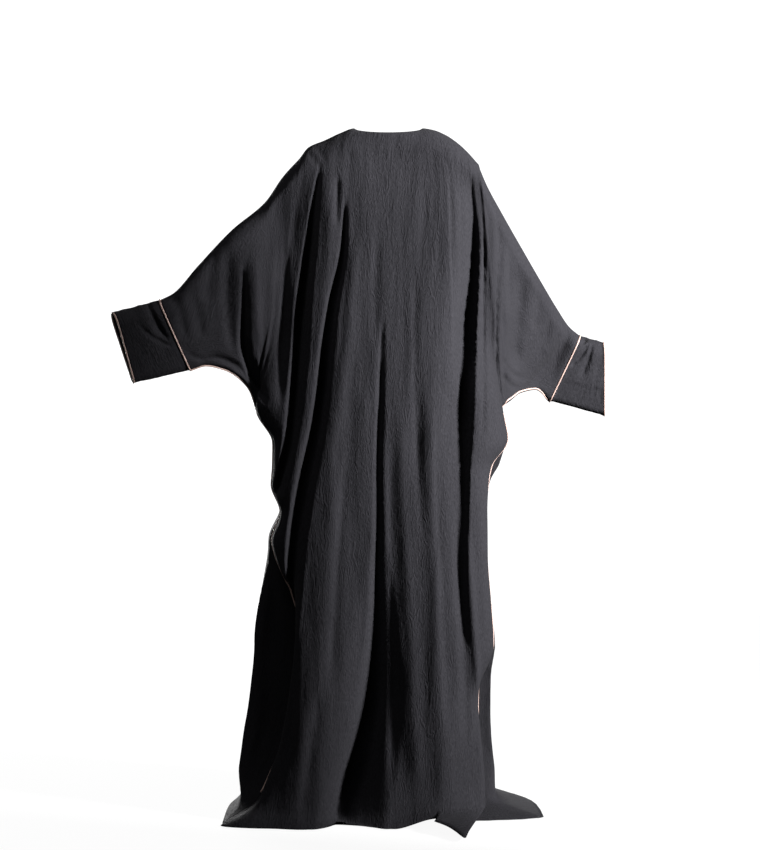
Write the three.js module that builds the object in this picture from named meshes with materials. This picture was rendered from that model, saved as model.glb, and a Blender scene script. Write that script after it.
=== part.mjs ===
// A floor-length abaya, worn with both arms held out: a hollow cloth garment in eleven sewn pieces.
// Millimetres. +X is the wearer's right, +Y is ahead of the wearer, +Z is up.
// The origin is the middle of the neck opening, where the garment is carried.
import * as THREE from "three";

// Cloth and trim
const WALL = 2;
const SEAM_GAP = 0.3;
const PIPING_RADIUS = 2;
const PIPING_SIDES = 6;
const PIPING_FOOT = -1485;
const MOST_LEAN = 0.94;
const NOTCH_SPARE = 0.9;
const FLOOR = -1540;

// Neck opening: half its width, and how far its edge reaches back, ahead and down in front
const NECK = { halfWidth: 76, back: 62, ahead: 84, backDrop: 14, frontDrop: 78 };

// The radius over which the cloth rolls across a shoulder and across a wrist
const SHOULDER_ROLL = 60;
const WRIST_ROLL = 38;

// Half the thickness of a sleeve where it leaves the body, at the cuff's seam and at the cuff's end
const SLEEVE_DEPTH = 84;
const WRIST_DEPTH = 42;
const CUFF_DEPTH = 40;
const UNDERARM_ROLL = 14;
const UNDERARM_SHARE = 0.3;

// How far the rim at a cuff's open end leans across, as a share of its half thickness
const CUFF_SLANT = { left: 0.27, right: 0 };

// A sleeve thins from the body to the cuff by this power, and its folds fade near its edges
const SLEEVE_TAPER = 0.8;
const SLEEVE_FADE = { over: 0.15, under: 0.12, wrist: 0.15 };

// The share of a fold's length over which it fades at each end
const FOLD_FADE = 0.18;

// The share of a panel's width over which it turns in to its side seam, and between which heights the
// turn changes from the soft one of a sleeve's root to the full one of a side seam
const TURN_SHARE = 0.2;
const SEAMED = { from: -460, to: -650 };

// Where the even fan of the body's columns ends at the hem, left and right
const FAN = { left: -300, right: 215 };

// While the front swings out past its seam it stays this close to the seam's own depth
const SWING_HOLD = 0.36;
const SWING_DRIFT = 0.14;
const FULL_SWING = 90;

// Brings the top of share * (1 - share) ** 2, which is 4 / 27, to 1
const SWING_TOP = 27 / 4;

// How far the back hem is lifted where it hangs over the trailing corner
const HEM_LIFT = { height: 24, fromZ: -1440, fromX: 10, toX: 110 };

// The corner of the back panel that trails on the floor under the lifted hem
const TRAIL = { fromZ: -1498, acrossX: -68, backY: -150, reach: 0.66 };

// Rows and columns of each panel
const SLEEVE_ROWS = 14;
const ROLL_ROWS = 4;
const ROLL_SHARE = 0.1;
const SKIRT_ROWS = 15;
const SKIRT_CROWDING = 1.12;
const SLEEVE_COLUMNS = 10;
const CUFF_ROWS = 4;
const BACK_COLUMNS = 40;
const FRONT_COLUMNS = 24;
const CROWDING = { amount: 0.7, from: 0.7, to: 1.1 };

// Levels of the body, top to hem. left and right are the side seams, and above the armpits the lines
// where the sleeves begin. back and front are where the panels hang between them. The last four say
// how far each panel swings out past its seam before it turns in to it.
const LEVEL_COLUMNS = [
  "z", "leftX", "leftY", "rightX", "rightY", "back", "front",
  "backLeft", "backRight", "frontLeft", "frontRight",
];
const LEVELS = table(LEVEL_COLUMNS, [
  [-68, -200, 0, 204, 0, -78, 70, 0, 0, 0, 0],
  [-200, -222, -10, 218, 14, -106, 108, 0, 0, 0, 0],
  [-400, -255, -26, 237, 35, -116, 124, 0, 0, 0, 0],
  [-640, -295, -45, 262, 60, -124, 120, 0, 0, 0, 0],
  [-708, -257, -42, 273, 54, -126, 120, 0, 0, 0, 6],
  [-765, -258, -38, 236, 38, -128, 121, 0, 0, 0, 32],
  [-805, -261, -35, 226, 29, -129, 122, 0, 5, 2, 18],
  [-866, -241, -32, 219, 17, -131, 123, 0, 10, 10, 8],
  [-930, -260, -30, 218, 4, -134, 125, 0, 12, 20, 8],
  [-960, -254, -31, 218, -1, -136, 126, 0, 12, 28, 8],
  [-1050, -216, -35, 224, -5, -142, 130, 0, 12, 72, 12],
  [-1165, -186, -35, 235, -10, -150, 137, 8, 6, 108, 20],
  [-1260, -196, -38, 200, -28, -160, 145, 14, 4, 108, 46],
  [-1345, -212, -42, 190, -35, -172, 154, 18, 18, 108, 54],
  [-1440, -250, -60, 180, -60, -188, 165, 18, 40, 92, 68],
  [-1505, -294, -105, 168, -105, -208, 182, 10, 52, 50, 80],
  [-1538, -362, -180, 142, -165, -236, 212, 12, 80, 8, 204],
]);

// The top line of the body from shoulder to shoulder
const SHOULDERS = table(["x", "z"], [
  [-200, -68],
  [-180, -43],
  [-143, -27],
  [-109, -11],
  [-76, 0],
  [76, 0],
  [102, -4],
  [129, -15],
  [152, -30],
  [175, -50],
  [204, -82],
]);

// The top and the underarm seam of each sleeve, from the body out to the cuff
const LEFT_ARM = table(["share", "x", "y", "z"], [
  [0, -200, 0, -68],
  [0.12, -238, -5, -110],
  [0.27, -278, -20, -169],
  [0.5, -351, -50, -233],
  [0.76, -428, -80, -318],
  [0.91, -478, -98, -376],
  [1, -507, -105, -391],
]);
const LEFT_UNDERARM = table(["share", "x", "y", "z"], [
  [0, -295, -45, -640],
  [0.25, -310, -55, -595],
  [0.42, -336, -65, -565],
  [0.58, -364, -75, -548],
  [0.8, -406, -88, -538],
  [1, -440, -100, -547],
]);
const RIGHT_ARM = table(["share", "x", "y", "z"], [
  [0, 204, 0, -82],
  [0.11, 225, 10, -130],
  [0.24, 261, 40, -192],
  [0.44, 310, 90, -271],
  [0.63, 361, 150, -351],
  [0.8, 401, 195, -412],
  [0.91, 430, 217, -452],
  [1, 456, 230, -473],
]);
const RIGHT_UNDERARM = table(["share", "x", "y", "z"], [
  [0, 262, 60, -635],
  [0.22, 284, 95, -622],
  [0.42, 309, 135, -606],
  [0.7, 346, 180, -600],
  [1, 383, 215, -628],
]);

// The open ends of the cuffs
const CUFF_ENDS = {
  left: { top: [-609, -130, -418], bottom: [-562, -125, -575] },
  right: { top: [513, 260, -488], bottom: [514, 245, -664] },
};

// Folds, each along a line from its head to its foot that is bowed sideways. A trough has a depth above
// 0 and a ridge one below 0. Widths are from the middle of the fold to its flank.
const FOLD_COLUMNS = [
  "headX", "headZ", "footX", "footZ", "bow", "headWidth", "footWidth", "headDepth", "footDepth",
];
const BACK_FOLDS = table(FOLD_COLUMNS, [
  [-148, -90, -246, -840, 0, 14, 20, 30, 34],
  [-82, -150, -214, -1170, -14, 13, 24, 30, 42],
  [-118, -150, -160, -560, 0, 14, 14, -10, -6],
  [-262, -190, -312, -600, 0, 75, 75, -34, -38],
  [-320, -280, -278, -620, 0, 13, 22, 14, 24],
  [-236, -270, -240, -640, 0, 16, 18, 4, 6],
  [-8, -440, -80, -1620, 26, 14, 60, 6, 64],
  [186, -80, 184, -1150, -10, 12, 14, 22, 30],
  [236, -170, 240, -640, 0, 12, 14, -10, -10],
  [258, -190, 262, -615, 0, 12, 12, 12, 14],
  [312, -320, 290, -560, 0, 18, 18, 8, 10],
  [429, -440, 331, -600, 6, 12, 16, 12, 16],
  [90, -520, 130, -1620, 0, 18, 40, -6, -14],
  [-112, -700, -190, -1620, 0, 20, 45, -8, -16],
]);
const FRONT_FOLDS = table(FOLD_COLUMNS, [
  [-140, -180, -215, -1250, 10, 16, 26, 16, 24],
  [-75, -260, -110, -1620, -8, 16, 44, 10, 34],
  [62, -240, 84, -1620, 8, 16, 40, 10, 30],
  [138, -160, 160, -1300, -10, 15, 26, 18, 24],
  [-330, -270, -290, -600, 0, 16, 20, 8, 12],
  [330, -360, 296, -580, 0, 16, 20, 8, 12],
]);

const PANELS = {
  back: {
    side: -1,
    columns: BACK_COLUMNS,
    hangs: "back",
    swings: { left: "backLeft", right: "backRight" },
    folds: BACK_FOLDS,
  },
  front: {
    side: 1,
    columns: FRONT_COLUMNS,
    hangs: "front",
    swings: { left: "frontLeft", right: "frontRight" },
    folds: FRONT_FOLDS,
  },
};
const ARMS = {
  left: { over: LEFT_ARM, under: LEFT_UNDERARM, end: CUFF_ENDS.left },
  right: { over: RIGHT_ARM, under: RIGHT_UNDERARM, end: CUFF_ENDS.right },
};

const CLOTH = new THREE.MeshStandardMaterial({ color: 0x17171a, roughness: 0.82, metalness: 0 });
const TRIM = new THREE.MeshStandardMaterial({ color: 0xc8aaa0, roughness: 0.6, metalness: 0 });

// ---- Small helpers -------------------------------------------------------------------------------

function table(columns, rows) {
  return rows.map((row) => Object.fromEntries(columns.map((name, i) => [name, row[i]])));
}

const clamp = (value, low = 0, high = 1) => Math.min(high, Math.max(low, value));
const mix = (a, b, share) => a + (b - a) * share;
const ease = (share) => share * share * (3 - 2 * share);
const easeBetween = (value, from, to) => ease(clamp((value - from) / (to - from)));

// A quarter round: leaves 0 upright and reaches 1 level
const quarterRound = (share) => Math.sqrt(1 - (1 - clamp(share)) ** 2);

// A smooth curve through one column of a table, by another column that runs one way
function along(rows, key, at, column) {
  const rising = rows[rows.length - 1][key] > rows[0][key] ? 1 : -1;
  const position = at * rising;
  let i = 0;
  while (i < rows.length - 2 && position > rows[i + 1][key] * rising) {
    i += 1;
  }
  const slope = (k) => {
    if (k <= 0 || k >= rows.length - 1) {
      return null;
    }
    const before = (rows[k][column] - rows[k - 1][column]) / (rows[k][key] - rows[k - 1][key]);
    const after = (rows[k + 1][column] - rows[k][column]) / (rows[k + 1][key] - rows[k][key]);
    return before * after <= 0 ? 0 : (2 * before * after) / (before + after);
  };
  const from = rows[i];
  const to = rows[i + 1];
  const span = to[key] - from[key];
  const straight = (to[column] - from[column]) / span;
  const leave = slope(i) ?? straight;
  const arrive = slope(i + 1) ?? straight;
  const t = clamp((at - from[key]) / span);
  return (
    from[column] * (1 + 2 * t) * (1 - t) ** 2 +
    to[column] * t * t * (3 - 2 * t) +
    span * (leave * t * (1 - t) ** 2 - arrive * t * t * (1 - t))
  );
}

const pointAlong = (rows, share) =>
  new THREE.Vector3(...["x", "y", "z"].map((axis) => along(rows, "share", share, axis)));

// ---- The form of the cloth -----------------------------------------------------------------------

// How far the folds of a panel push it at a place: above 0 is in to the body
function foldDepth(folds, x, z) {
  let total = 0;
  for (const fold of folds) {
    const runX = fold.footX - fold.headX;
    const runZ = fold.footZ - fold.headZ;
    const length = Math.hypot(runX, runZ);
    const share = ((x - fold.headX) * runX + (z - fold.headZ) * runZ) / length ** 2;
    if (share <= 0 || share >= 1) {
      continue;
    }
    const bowed = fold.bow * 4 * share * (1 - share);
    const aside = ((x - fold.headX) * -runZ + (z - fold.headZ) * runX) / length - bowed;
    const width = mix(fold.headWidth, fold.footWidth, share);
    const fade = easeBetween(share, 0, FOLD_FADE) * easeBetween(1 - share, 0, FOLD_FADE);
    total += mix(fold.headDepth, fold.footDepth, share) * fade * Math.exp(-((aside / width) ** 2));
  }
  return total;
}

// The half thickness of a sleeve, from its top (0) to its underarm seam (1), as a share of its depth
function sleeveProfile(share, depthDown, roll) {
  const over = quarterRound((share * depthDown) / roll);
  const under = quarterRound(((1 - share) * depthDown) / UNDERARM_ROLL);
  return over * under * mix(1, UNDERARM_SHARE, share);
}

// How far a panel has turned from its seam. Where the front swings out past it, it first keeps its depth.
function turnIn(panel, share, swung) {
  const hold = panel.side > 0 ? SWING_HOLD * clamp(swung / FULL_SWING) : 0;
  const drift = hold > 0 ? SWING_DRIFT * clamp(share / hold) * (hold / SWING_HOLD) : 0;
  return drift + (1 - drift) * quarterRound((share - hold) / (1 - hold));
}

// A point on a sleeve: out runs from the body (0) to the cuff (1), down from its top to its seam
function sleevePoint(panel, arm, out, down) {
  const top = pointAlong(arm.over, out);
  const bottom = pointAlong(arm.under, out);
  const point = top.clone().lerp(bottom, down);
  const depth = mix(SLEEVE_DEPTH, WRIST_DEPTH, out ** SLEEVE_TAPER);
  const roll = mix(SHOULDER_ROLL, WRIST_ROLL, out);
  point.y += panel.side * depth * sleeveProfile(down, top.distanceTo(bottom), roll);
  const clearOver = easeBetween(down, 0, SLEEVE_FADE.over);
  const clearUnder = easeBetween(1 - down, 0, SLEEVE_FADE.under);
  const clearWrist = easeBetween(1 - out, 0, SLEEVE_FADE.wrist);
  point.y -= panel.side * foldDepth(panel.folds, point.x, point.z) * clearOver * clearUnder * clearWrist;
  return point;
}

// A point on the body: across runs from the left seam (0) to the right (1), and down from the shoulders
// (0) to the armpits (1) and the hem (2)
function bodyPoint(panel, across, down) {
  const first = LEVELS[0];
  const edgeZ = (top, side) =>
    down < 1 ? mix(top, ARMS[side].under[0].z, down) : mix(ARMS[side].under[0].z, FLOOR + WALL, down - 1);
  const leftZ = edgeZ(first.z, "left");
  const rightZ = edgeZ(SHOULDERS[SHOULDERS.length - 1].z, "right");
  const leftX = along(LEVELS, "z", leftZ, "leftX");
  const rightX = along(LEVELS, "z", rightZ, "rightX");
  const topX = mix(first.leftX, first.rightX, across);
  const neck = Math.abs(topX) < NECK.halfWidth ? Math.sqrt(1 - (topX / NECK.halfWidth) ** 2) : 0;
  const topZ = along(SHOULDERS, "x", topX, "z") - neck * (panel.side < 0 ? NECK.backDrop : NECK.frontDrop);
  const topY = neck * (panel.side < 0 ? -NECK.back : NECK.ahead);
  const armpitZ = mix(ARMS.left.under[0].z, ARMS.right.under[0].z, across);
  let z = down < 1 ? mix(topZ, armpitZ, down) : mix(armpitZ, FLOOR + WALL, down - 1);

  // The turn in to the nearer seam: a soft one above the armpits, a full one below
  const leftTurn = clamp(across / TURN_SHARE);
  const rightTurn = clamp((1 - across) / TURN_SHARE);
  const seamed = easeBetween(z, SEAMED.from, SEAMED.to);
  const leftSwing = along(LEVELS, "z", z, panel.swings.left);
  const rightSwing = along(LEVELS, "z", z, panel.swings.right);
  const turn = (share, swung) => mix(ease(share), turnIn(panel, share, swung), seamed);
  const inset = (share) => seamed * (share * share * (2 - share) - share);
  const swing = (share) => SWING_TOP * share * (1 - share) ** 2;
  const fanLeft = down < 1 ? leftX : mix(ARMS.left.under[0].x, FAN.left, down - 1);
  const fanRight = down < 1 ? rightX : mix(ARMS.right.under[0].x, FAN.right, down - 1);
  let x = mix(fanLeft, fanRight, across);
  x += (leftX - fanLeft) * (1 - ease(leftTurn)) + (rightX - fanRight) * (1 - ease(rightTurn));
  x += TURN_SHARE * (fanRight - fanLeft) * (inset(leftTurn) - inset(rightTurn));
  x -= leftSwing * swing(leftTurn);
  x += rightSwing * swing(rightTurn);

  // How far the panel hangs from its seams
  const seamOffset = (side, seamZ, column) => {
    const height = ARMS[side].over[0].z - ARMS[side].under[0].z;
    const profile = down < 1 ? sleeveProfile(down, height, SHOULDER_ROLL) : 0;
    return along(LEVELS, "z", seamZ, column) + panel.side * SLEEVE_DEPTH * profile;
  };
  const leftY = seamOffset("left", leftZ, "leftY");
  const rightY = seamOffset("right", rightZ, "rightY");
  const roll = quarterRound((topZ - z) / SHOULDER_ROLL);
  const hung = mix(topY, along(LEVELS, "z", z, panel.hangs), down < 1 ? roll : 1);
  const fromLeft = mix(leftY, hung, turn(leftTurn, leftSwing));
  const fromRight = mix(rightY, hung, turn(rightTurn, rightSwing));
  let y = across < 0.5 ? fromLeft : fromRight;

  const clearTop = easeBetween(topZ - z, 0, SHOULDER_ROLL);
  const clearSeams = mix(1, ease(leftTurn) * ease(rightTurn), seamed);
  y -= panel.side * foldDepth(panel.folds, x, z) * clearTop * clearSeams;

  if (panel.side < 0) {
    // The lifted hem, and under it the corner that trails on the floor
    const low = easeBetween(z, HEM_LIFT.fromZ, FLOOR + WALL);
    z += HEM_LIFT.height * low * easeBetween(x, HEM_LIFT.fromX, HEM_LIFT.toX) * ease(rightTurn);
    const beside = rightTurn < 1 ? swing(rightTurn * TRAIL.reach) : 0;
    const trail = easeBetween(z, TRAIL.fromZ, FLOOR + WALL) * beside;
    x += TRAIL.acrossX * trail;
    y += TRAIL.backY * trail;
  }
  return new THREE.Vector3(x, y, z);
}

// ---- Grids of points -----------------------------------------------------------------------------

// The shares of the way down at which rows lie: close together over the shoulder
function rowShares() {
  const shares = [];
  for (let j = 0; j <= SLEEVE_ROWS; j += 1) {
    const rest = (j - ROLL_ROWS) / (SLEEVE_ROWS - ROLL_ROWS);
    const rolled = ROLL_SHARE * (1 - Math.cos((j / ROLL_ROWS) * (Math.PI / 2)));
    shares.push(j < ROLL_ROWS ? rolled : mix(ROLL_SHARE, 1, (rest + Math.sin((rest * Math.PI) / 2)) / 2));
  }
  for (let j = 1; j <= SKIRT_ROWS; j += 1) {
    shares.push(2 - (1 - j / SKIRT_ROWS) ** SKIRT_CROWDING);
  }
  return shares;
}

// Where a column lies across the body: evenly above the armpits, closer at the seams below them
function columnShare(column, columns, down) {
  const even = column / columns;
  const crowded = (1 - Math.cos(even * Math.PI)) / 2;
  return mix(even, crowded, CROWDING.amount * easeBetween(down, CROWDING.from, CROWDING.to));
}

// One panel as points and faces. Its columns run down from the top line: the left sleeve, the body and
// the right sleeve. The sleeves stop at the armpit row.
function panelGrid(panel) {
  const points = [];
  const place = new Map();
  const shares = rowShares();
  const last = SLEEVE_COLUMNS * 2 + panel.columns;
  const add = (column, row, point) => {
    place.set(`${column},${row}`, points.length);
    points.push(point);
  };
  for (let column = 0; column <= last; column += 1) {
    const inBody = column >= SLEEVE_COLUMNS && column <= last - SLEEVE_COLUMNS;
    shares.forEach((down, row) => {
      if (inBody) {
        add(column, row, bodyPoint(panel, columnShare(column - SLEEVE_COLUMNS, panel.columns, down), down));
      } else if (row <= SLEEVE_ROWS) {
        const left = column < SLEEVE_COLUMNS;
        const out = (left ? SLEEVE_COLUMNS - column : column - last + SLEEVE_COLUMNS) / SLEEVE_COLUMNS;
        add(column, row, sleevePoint(panel, left ? ARMS.left : ARMS.right, out, down));
      }
    });
  }
  const faces = [];
  for (let column = 0; column < last; column += 1) {
    for (let row = 0; row < shares.length - 1; row += 1) {
      const corners = [
        [column, row],
        [column, row + 1],
        [column + 1, row + 1],
        [column + 1, row],
      ].map(([c, r]) => place.get(`${c},${r}`));
      if (corners.every((corner) => corner !== undefined)) {
        const loop = panel.side < 0 ? corners : corners.reverse();
        splitQuad(points, loop).forEach((face) => faces.push({ face, column }));
      }
    }
  }
  return { panel, points, place, faces, last, rows: shares.length - 1, normals: normalsOf(points, faces) };
}

// Two triangles for a four-cornered face, split along its shorter diagonal
function splitQuad(points, [a, b, c, d]) {
  const shorter = points[a].distanceTo(points[c]) <= points[b].distanceTo(points[d]);
  return shorter ? [[a, b, c], [a, c, d]] : [[a, b, d], [b, c, d]];
}

function normalsOf(points, faces) {
  const normals = points.map(() => new THREE.Vector3());
  for (const { face } of faces) {
    const [a, b, c] = face.map((i) => points[i]);
    const normal = b.clone().sub(a).cross(c.clone().sub(a));
    face.forEach((i) => normals[i].add(normal));
  }
  return normals.map((normal) => normal.normalize());
}

// The column and row of every point where the two panels are sewn together, in order, and which seam
function seamPlaces(grid) {
  const places = [];
  const bodyLeft = SLEEVE_COLUMNS;
  const bodyRight = grid.last - SLEEVE_COLUMNS;
  for (let column = 0; column < SLEEVE_COLUMNS; column += 1) {
    places.push({ seam: "left", column, row: SLEEVE_ROWS });
    places.push({ seam: "right", column: grid.last - column, row: SLEEVE_ROWS });
  }
  for (let row = SLEEVE_ROWS; row <= grid.rows; row += 1) {
    places.push({ seam: "left", column: bodyLeft, row });
    places.push({ seam: "right", column: bodyRight, row });
  }
  return places;
}

// ---- Solids --------------------------------------------------------------------------------------

// A closed wall: outer points, the same points moved in by the wall's thickness, and rims between them
function wallGeometry(outer, inner, faces) {
  const count = outer.length;
  const points = [...outer, ...inner];
  const edges = new Map();
  const triangles = [];
  for (const [a, b, c] of faces) {
    triangles.push([a, b, c], [a + count, c + count, b + count]);
    for (const [from, to] of [[a, b], [b, c], [c, a]]) {
      edges.set(`${from},${to}`, [from, to]);
    }
  }
  for (const [from, to] of edges.values()) {
    if (!edges.has(`${to},${from}`)) {
      triangles.push(...splitQuad(points, [from, from + count, to + count, to]));
    }
  }
  return solidGeometry(points, triangles);
}

function solidGeometry(points, triangles) {
  const geometry = new THREE.BufferGeometry();
  const used = [...new Set(triangles.flat())];
  const order = new Map(used.map((point, i) => [point, i]));
  const positions = used.flatMap((i) => points[i].toArray());
  geometry.setAttribute("position", new THREE.Float32BufferAttribute(positions, 3));
  geometry.setIndex(triangles.flat().map((i) => order.get(i)));
  geometry.computeVertexNormals();
  return geometry;
}

function named(name, geometry, material) {
  const mesh = new THREE.Mesh(geometry, material);
  mesh.name = name;
  return mesh;
}

// A round cord along points, open with flat ends or closed on itself
function cordGeometry(points, closed) {
  const count = points.length;
  const rings = [];
  let side = null;
  for (let i = 0; i < count; i += 1) {
    const before = points[closed ? (i + count - 1) % count : Math.max(0, i - 1)];
    const after = points[closed ? (i + 1) % count : Math.min(count - 1, i + 1)];
    const run = after.clone().sub(before).normalize();
    if (side === null) {
      side = new THREE.Vector3(0, 1, 0);
    }
    side = side.clone().addScaledVector(run, -side.dot(run)).normalize();
    const up = run.clone().cross(side);
    for (let k = 0; k < PIPING_SIDES; k += 1) {
      const angle = (k / PIPING_SIDES) * Math.PI * 2;
      const spoke = side.clone().multiplyScalar(Math.cos(angle)).addScaledVector(up, Math.sin(angle));
      rings.push(points[i].clone().addScaledVector(spoke, PIPING_RADIUS));
    }
  }
  const triangles = [];
  const at = (i, k) => (i % count) * PIPING_SIDES + (k % PIPING_SIDES);
  for (let i = 0; i < (closed ? count : count - 1); i += 1) {
    for (let k = 0; k < PIPING_SIDES; k += 1) {
      triangles.push([at(i, k), at(i, k + 1), at(i + 1, k + 1)], [at(i, k), at(i + 1, k + 1), at(i + 1, k)]);
    }
  }
  if (!closed) {
    for (let k = 1; k < PIPING_SIDES - 1; k += 1) {
      triangles.push([at(0, 0), at(0, k + 1), at(0, k)]);
      triangles.push([at(count - 1, 0), at(count - 1, k), at(count - 1, k + 1)]);
    }
  }
  return solidGeometry(rings, triangles);
}

// ---- The garment ---------------------------------------------------------------------------------

const back = panelGrid(PANELS.back);
const front = panelGrid(PANELS.front);
const pointAt = (grid, column, row) => grid.points[grid.place.get(`${column},${row}`)];
const normalAt = (grid, column, row) => grid.normals[grid.place.get(`${column},${row}`)];

// The column of the front that holds the same seam as a column of the back
const frontColumnBy = (column, side) => (side === "left" ? column : column - back.last + front.last);

// Both panels lean the same way at a seam, and stand half a gap to either side of it
const seamPlacesOfBack = seamPlaces(back);
const seamSplits = new Map();
for (const place of seamPlacesOfBack) {
  const shared = normalAt(back, place.column, place.row);
  const facing = normalAt(front, frontColumnBy(place.column, place.seam), place.row);
  shared.add(facing).normalize();
  facing.copy(shared);
  const split = seamRun(place).cross(shared).normalize();
  seamSplits.set(`${place.seam},${place.column},${place.row}`, split.y < 0 ? split.negate() : split);
}

// Along the shoulders both panels end in the upright plane between them
for (let column = 0; column <= SLEEVE_COLUMNS; column += 1) {
  for (const side of ["left", "right"]) {
    const place = side === "left" ? column : back.last - column;
    const shared = normalAt(back, place, 0);
    const facing = normalAt(front, frontColumnBy(place, side), 0);
    shared.add(facing).setY(0).normalize();
    facing.copy(shared);
  }
}
for (const grid of [back, front]) {
  for (let column = SLEEVE_COLUMNS + 1; column < grid.last - SLEEVE_COLUMNS; column += 1) {
    if (Math.abs(pointAt(grid, column, 0).x) > NECK.halfWidth) {
      normalAt(grid, column, 0).setY(0).normalize();
    }
  }
}

// Down the middle both fronts end in the plane between them
for (let row = 0; row <= front.rows; row += 1) {
  normalAt(front, front.last / 2, row).setX(0).normalize();
}

// The panel's edges at the cuff lie in the plane of the cuff's seam
function joinPlane(side) {
  const arm = ARMS[side];
  const top = pointAlong(arm.over, 1);
  const drop = pointAlong(arm.under, 1).sub(top);
  const facing = new THREE.Vector3(0, 1, 0).cross(drop).normalize();
  const outward = new THREE.Vector3(side === "left" ? -1 : 1, 0, 0);
  return facing.dot(outward) < 0 ? facing.negate() : facing;
}

function flattenOnto(normal, plane) {
  return normal.addScaledVector(plane, -normal.dot(plane)).normalize();
}

for (const grid of [back, front]) {
  for (let row = 0; row <= SLEEVE_ROWS; row += 1) {
    flattenOnto(normalAt(grid, 0, row), joinPlane("left"));
    flattenOnto(normalAt(grid, grid.last, row), joinPlane("right"));
  }
}

function panelSolid(name, grid, keeps, middleShift) {
  const outer = grid.points.map((point) => point.clone());
  const half = (grid.panel.side * SEAM_GAP) / 2;
  for (let column = 0; column <= grid.last; column += 1) {
    outer[grid.place.get(`${column},0`)].y += half;
  }
  for (const { seam, column, row } of seamPlacesOfBack) {
    const place = grid === back ? column : frontColumnBy(column, seam);
    const split = seamSplits.get(`${seam},${column},${row}`);
    outer[grid.place.get(`${place},${row}`)].addScaledVector(split, half);
  }
  for (let row = 0; row <= grid.rows && middleShift !== 0; row += 1) {
    outer[grid.place.get(`${grid.last / 2},${row}`)].x += middleShift;
  }
  const inner = outer.map((point, i) => {
    const moved = point.clone().addScaledVector(grid.normals[i], -WALL);
    moved.z = Math.max(moved.z, FLOOR);
    return moved;
  });
  const faces = grid.faces.filter(({ column }) => keeps(column)).map(({ face }) => face);
  return named(name, wallGeometry(outer, inner, faces), CLOTH);
}

// A section of a cuff as a closed ring of points: share 0 at the sleeve, 1 at the open end
function cuffRing(side, share) {
  const arm = ARMS[side];
  const top = pointAlong(arm.over, 1).lerp(new THREE.Vector3(...arm.end.top), share);
  const bottom = pointAlong(arm.under, 1).lerp(new THREE.Vector3(...arm.end.bottom), share);
  const depth = mix(WRIST_DEPTH, CUFF_DEPTH, share);
  const height = top.distanceTo(bottom);
  const half = (down, facing) => {
    const point = top.clone().lerp(bottom, down);
    const bulge = facing * depth * sleeveProfile(down, height, WRIST_ROLL);
    point.x -= bulge * CUFF_SLANT[side] * share;
    point.y += bulge;
    return point;
  };
  const shares = rowShares().slice(0, SLEEVE_ROWS + 1);
  const behind = shares.map((down) => half(down, -1));
  const ahead = shares.slice(1, -1).reverse().map((down) => half(down, 1));
  return [...behind, ...ahead];
}

// The direction out of the sleeve, square to a cuff's ring
function ringFacing(side, ring) {
  const drop = ring[SLEEVE_ROWS].clone().sub(ring[0]);
  const middle = Math.round(SLEEVE_ROWS / 2);
  const ahead = ring[ring.length - middle].clone().sub(ring[middle]);
  const facing = ahead.cross(drop).normalize();
  return facing.x * (side === "left" ? -1 : 1) < 0 ? facing.negate() : facing;
}

// The ring moved outwards in its own plane, above 0, or inwards, below 0
function spreadRing(ring, facing, distance) {
  const count = ring.length;
  const centre = ring.reduce((sum, point) => sum.add(point), new THREE.Vector3()).divideScalar(count);
  return ring.map((point, i) => {
    const run = ring[(i + 1) % count].clone().sub(ring[(i + count - 1) % count]);
    const out = run.cross(facing).normalize();
    const outward = out.dot(point.clone().sub(centre)) < 0 ? out.negate() : out;
    return point.clone().addScaledVector(outward, distance);
  });
}

function cuffSolid(side) {
  const rings = [];
  for (let row = 0; row <= CUFF_ROWS; row += 1) {
    const ring = cuffRing(side, row / CUFF_ROWS);
    const facing = ringFacing(side, ring);
    const start = row === 0 ? SEAM_GAP : 0;
    rings.push({ facing, points: ring.map((point) => point.clone().addScaledVector(facing, start)) });
  }
  const outer = rings.flatMap((ring) => ring.points);
  const inner = rings.flatMap((ring) => spreadRing(ring.points, ring.facing, -WALL));
  const count = rings[0].points.length;
  const faces = [];
  for (let row = 0; row < CUFF_ROWS; row += 1) {
    for (let i = 0; i < count; i += 1) {
      const next = (i + 1) % count;
      const loop = [row * count + i, row * count + next, (row + 1) * count + next, (row + 1) * count + i];
      faces.push(...splitQuad(outer, side === "left" ? loop.reverse() : loop));
    }
  }
  return named(`cuff_${side}`, wallGeometry(outer, inner, faces), CLOTH);
}

// The piping round the seam between sleeve and cuff, and round the cuff's open end
function cuffPiping(side) {
  const join = cuffRing(side, 0);
  const facing = ringFacing(side, join);
  const joinPath = spreadRing(join, facing, PIPING_RADIUS + SEAM_GAP);
  const end = cuffRing(side, 1);
  const endFacing = ringFacing(side, end);
  const endPath = spreadRing(end, endFacing, -WALL / 2).map((point) =>
    point.addScaledVector(endFacing, PIPING_RADIUS + SEAM_GAP),
  );
  return [
    named(`cuff_join_piping_${side}`, cordGeometry(joinPath, true), TRIM),
    named(`cuff_end_piping_${side}`, cordGeometry(endPath, true), TRIM),
  ];
}

// The direction in which a side or underarm seam runs at one of its places
function seamRun({ seam, column, row }) {
  const inward = seam === "left" ? 1 : -1;
  const bodyColumn = seam === "left" ? SLEEVE_COLUMNS : back.last - SLEEVE_COLUMNS;
  const before = column === bodyColumn && row > SLEEVE_ROWS ? [column, row - 1] : [column - inward, row];
  const after = column === bodyColumn ? [column, row + 1] : [column + inward, row];
  const here = pointAt(back, column, row);
  const from = pointAt(back, ...before) ?? here;
  const to = pointAt(back, ...after) ?? here;
  return to.clone().sub(from).normalize();
}

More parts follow.
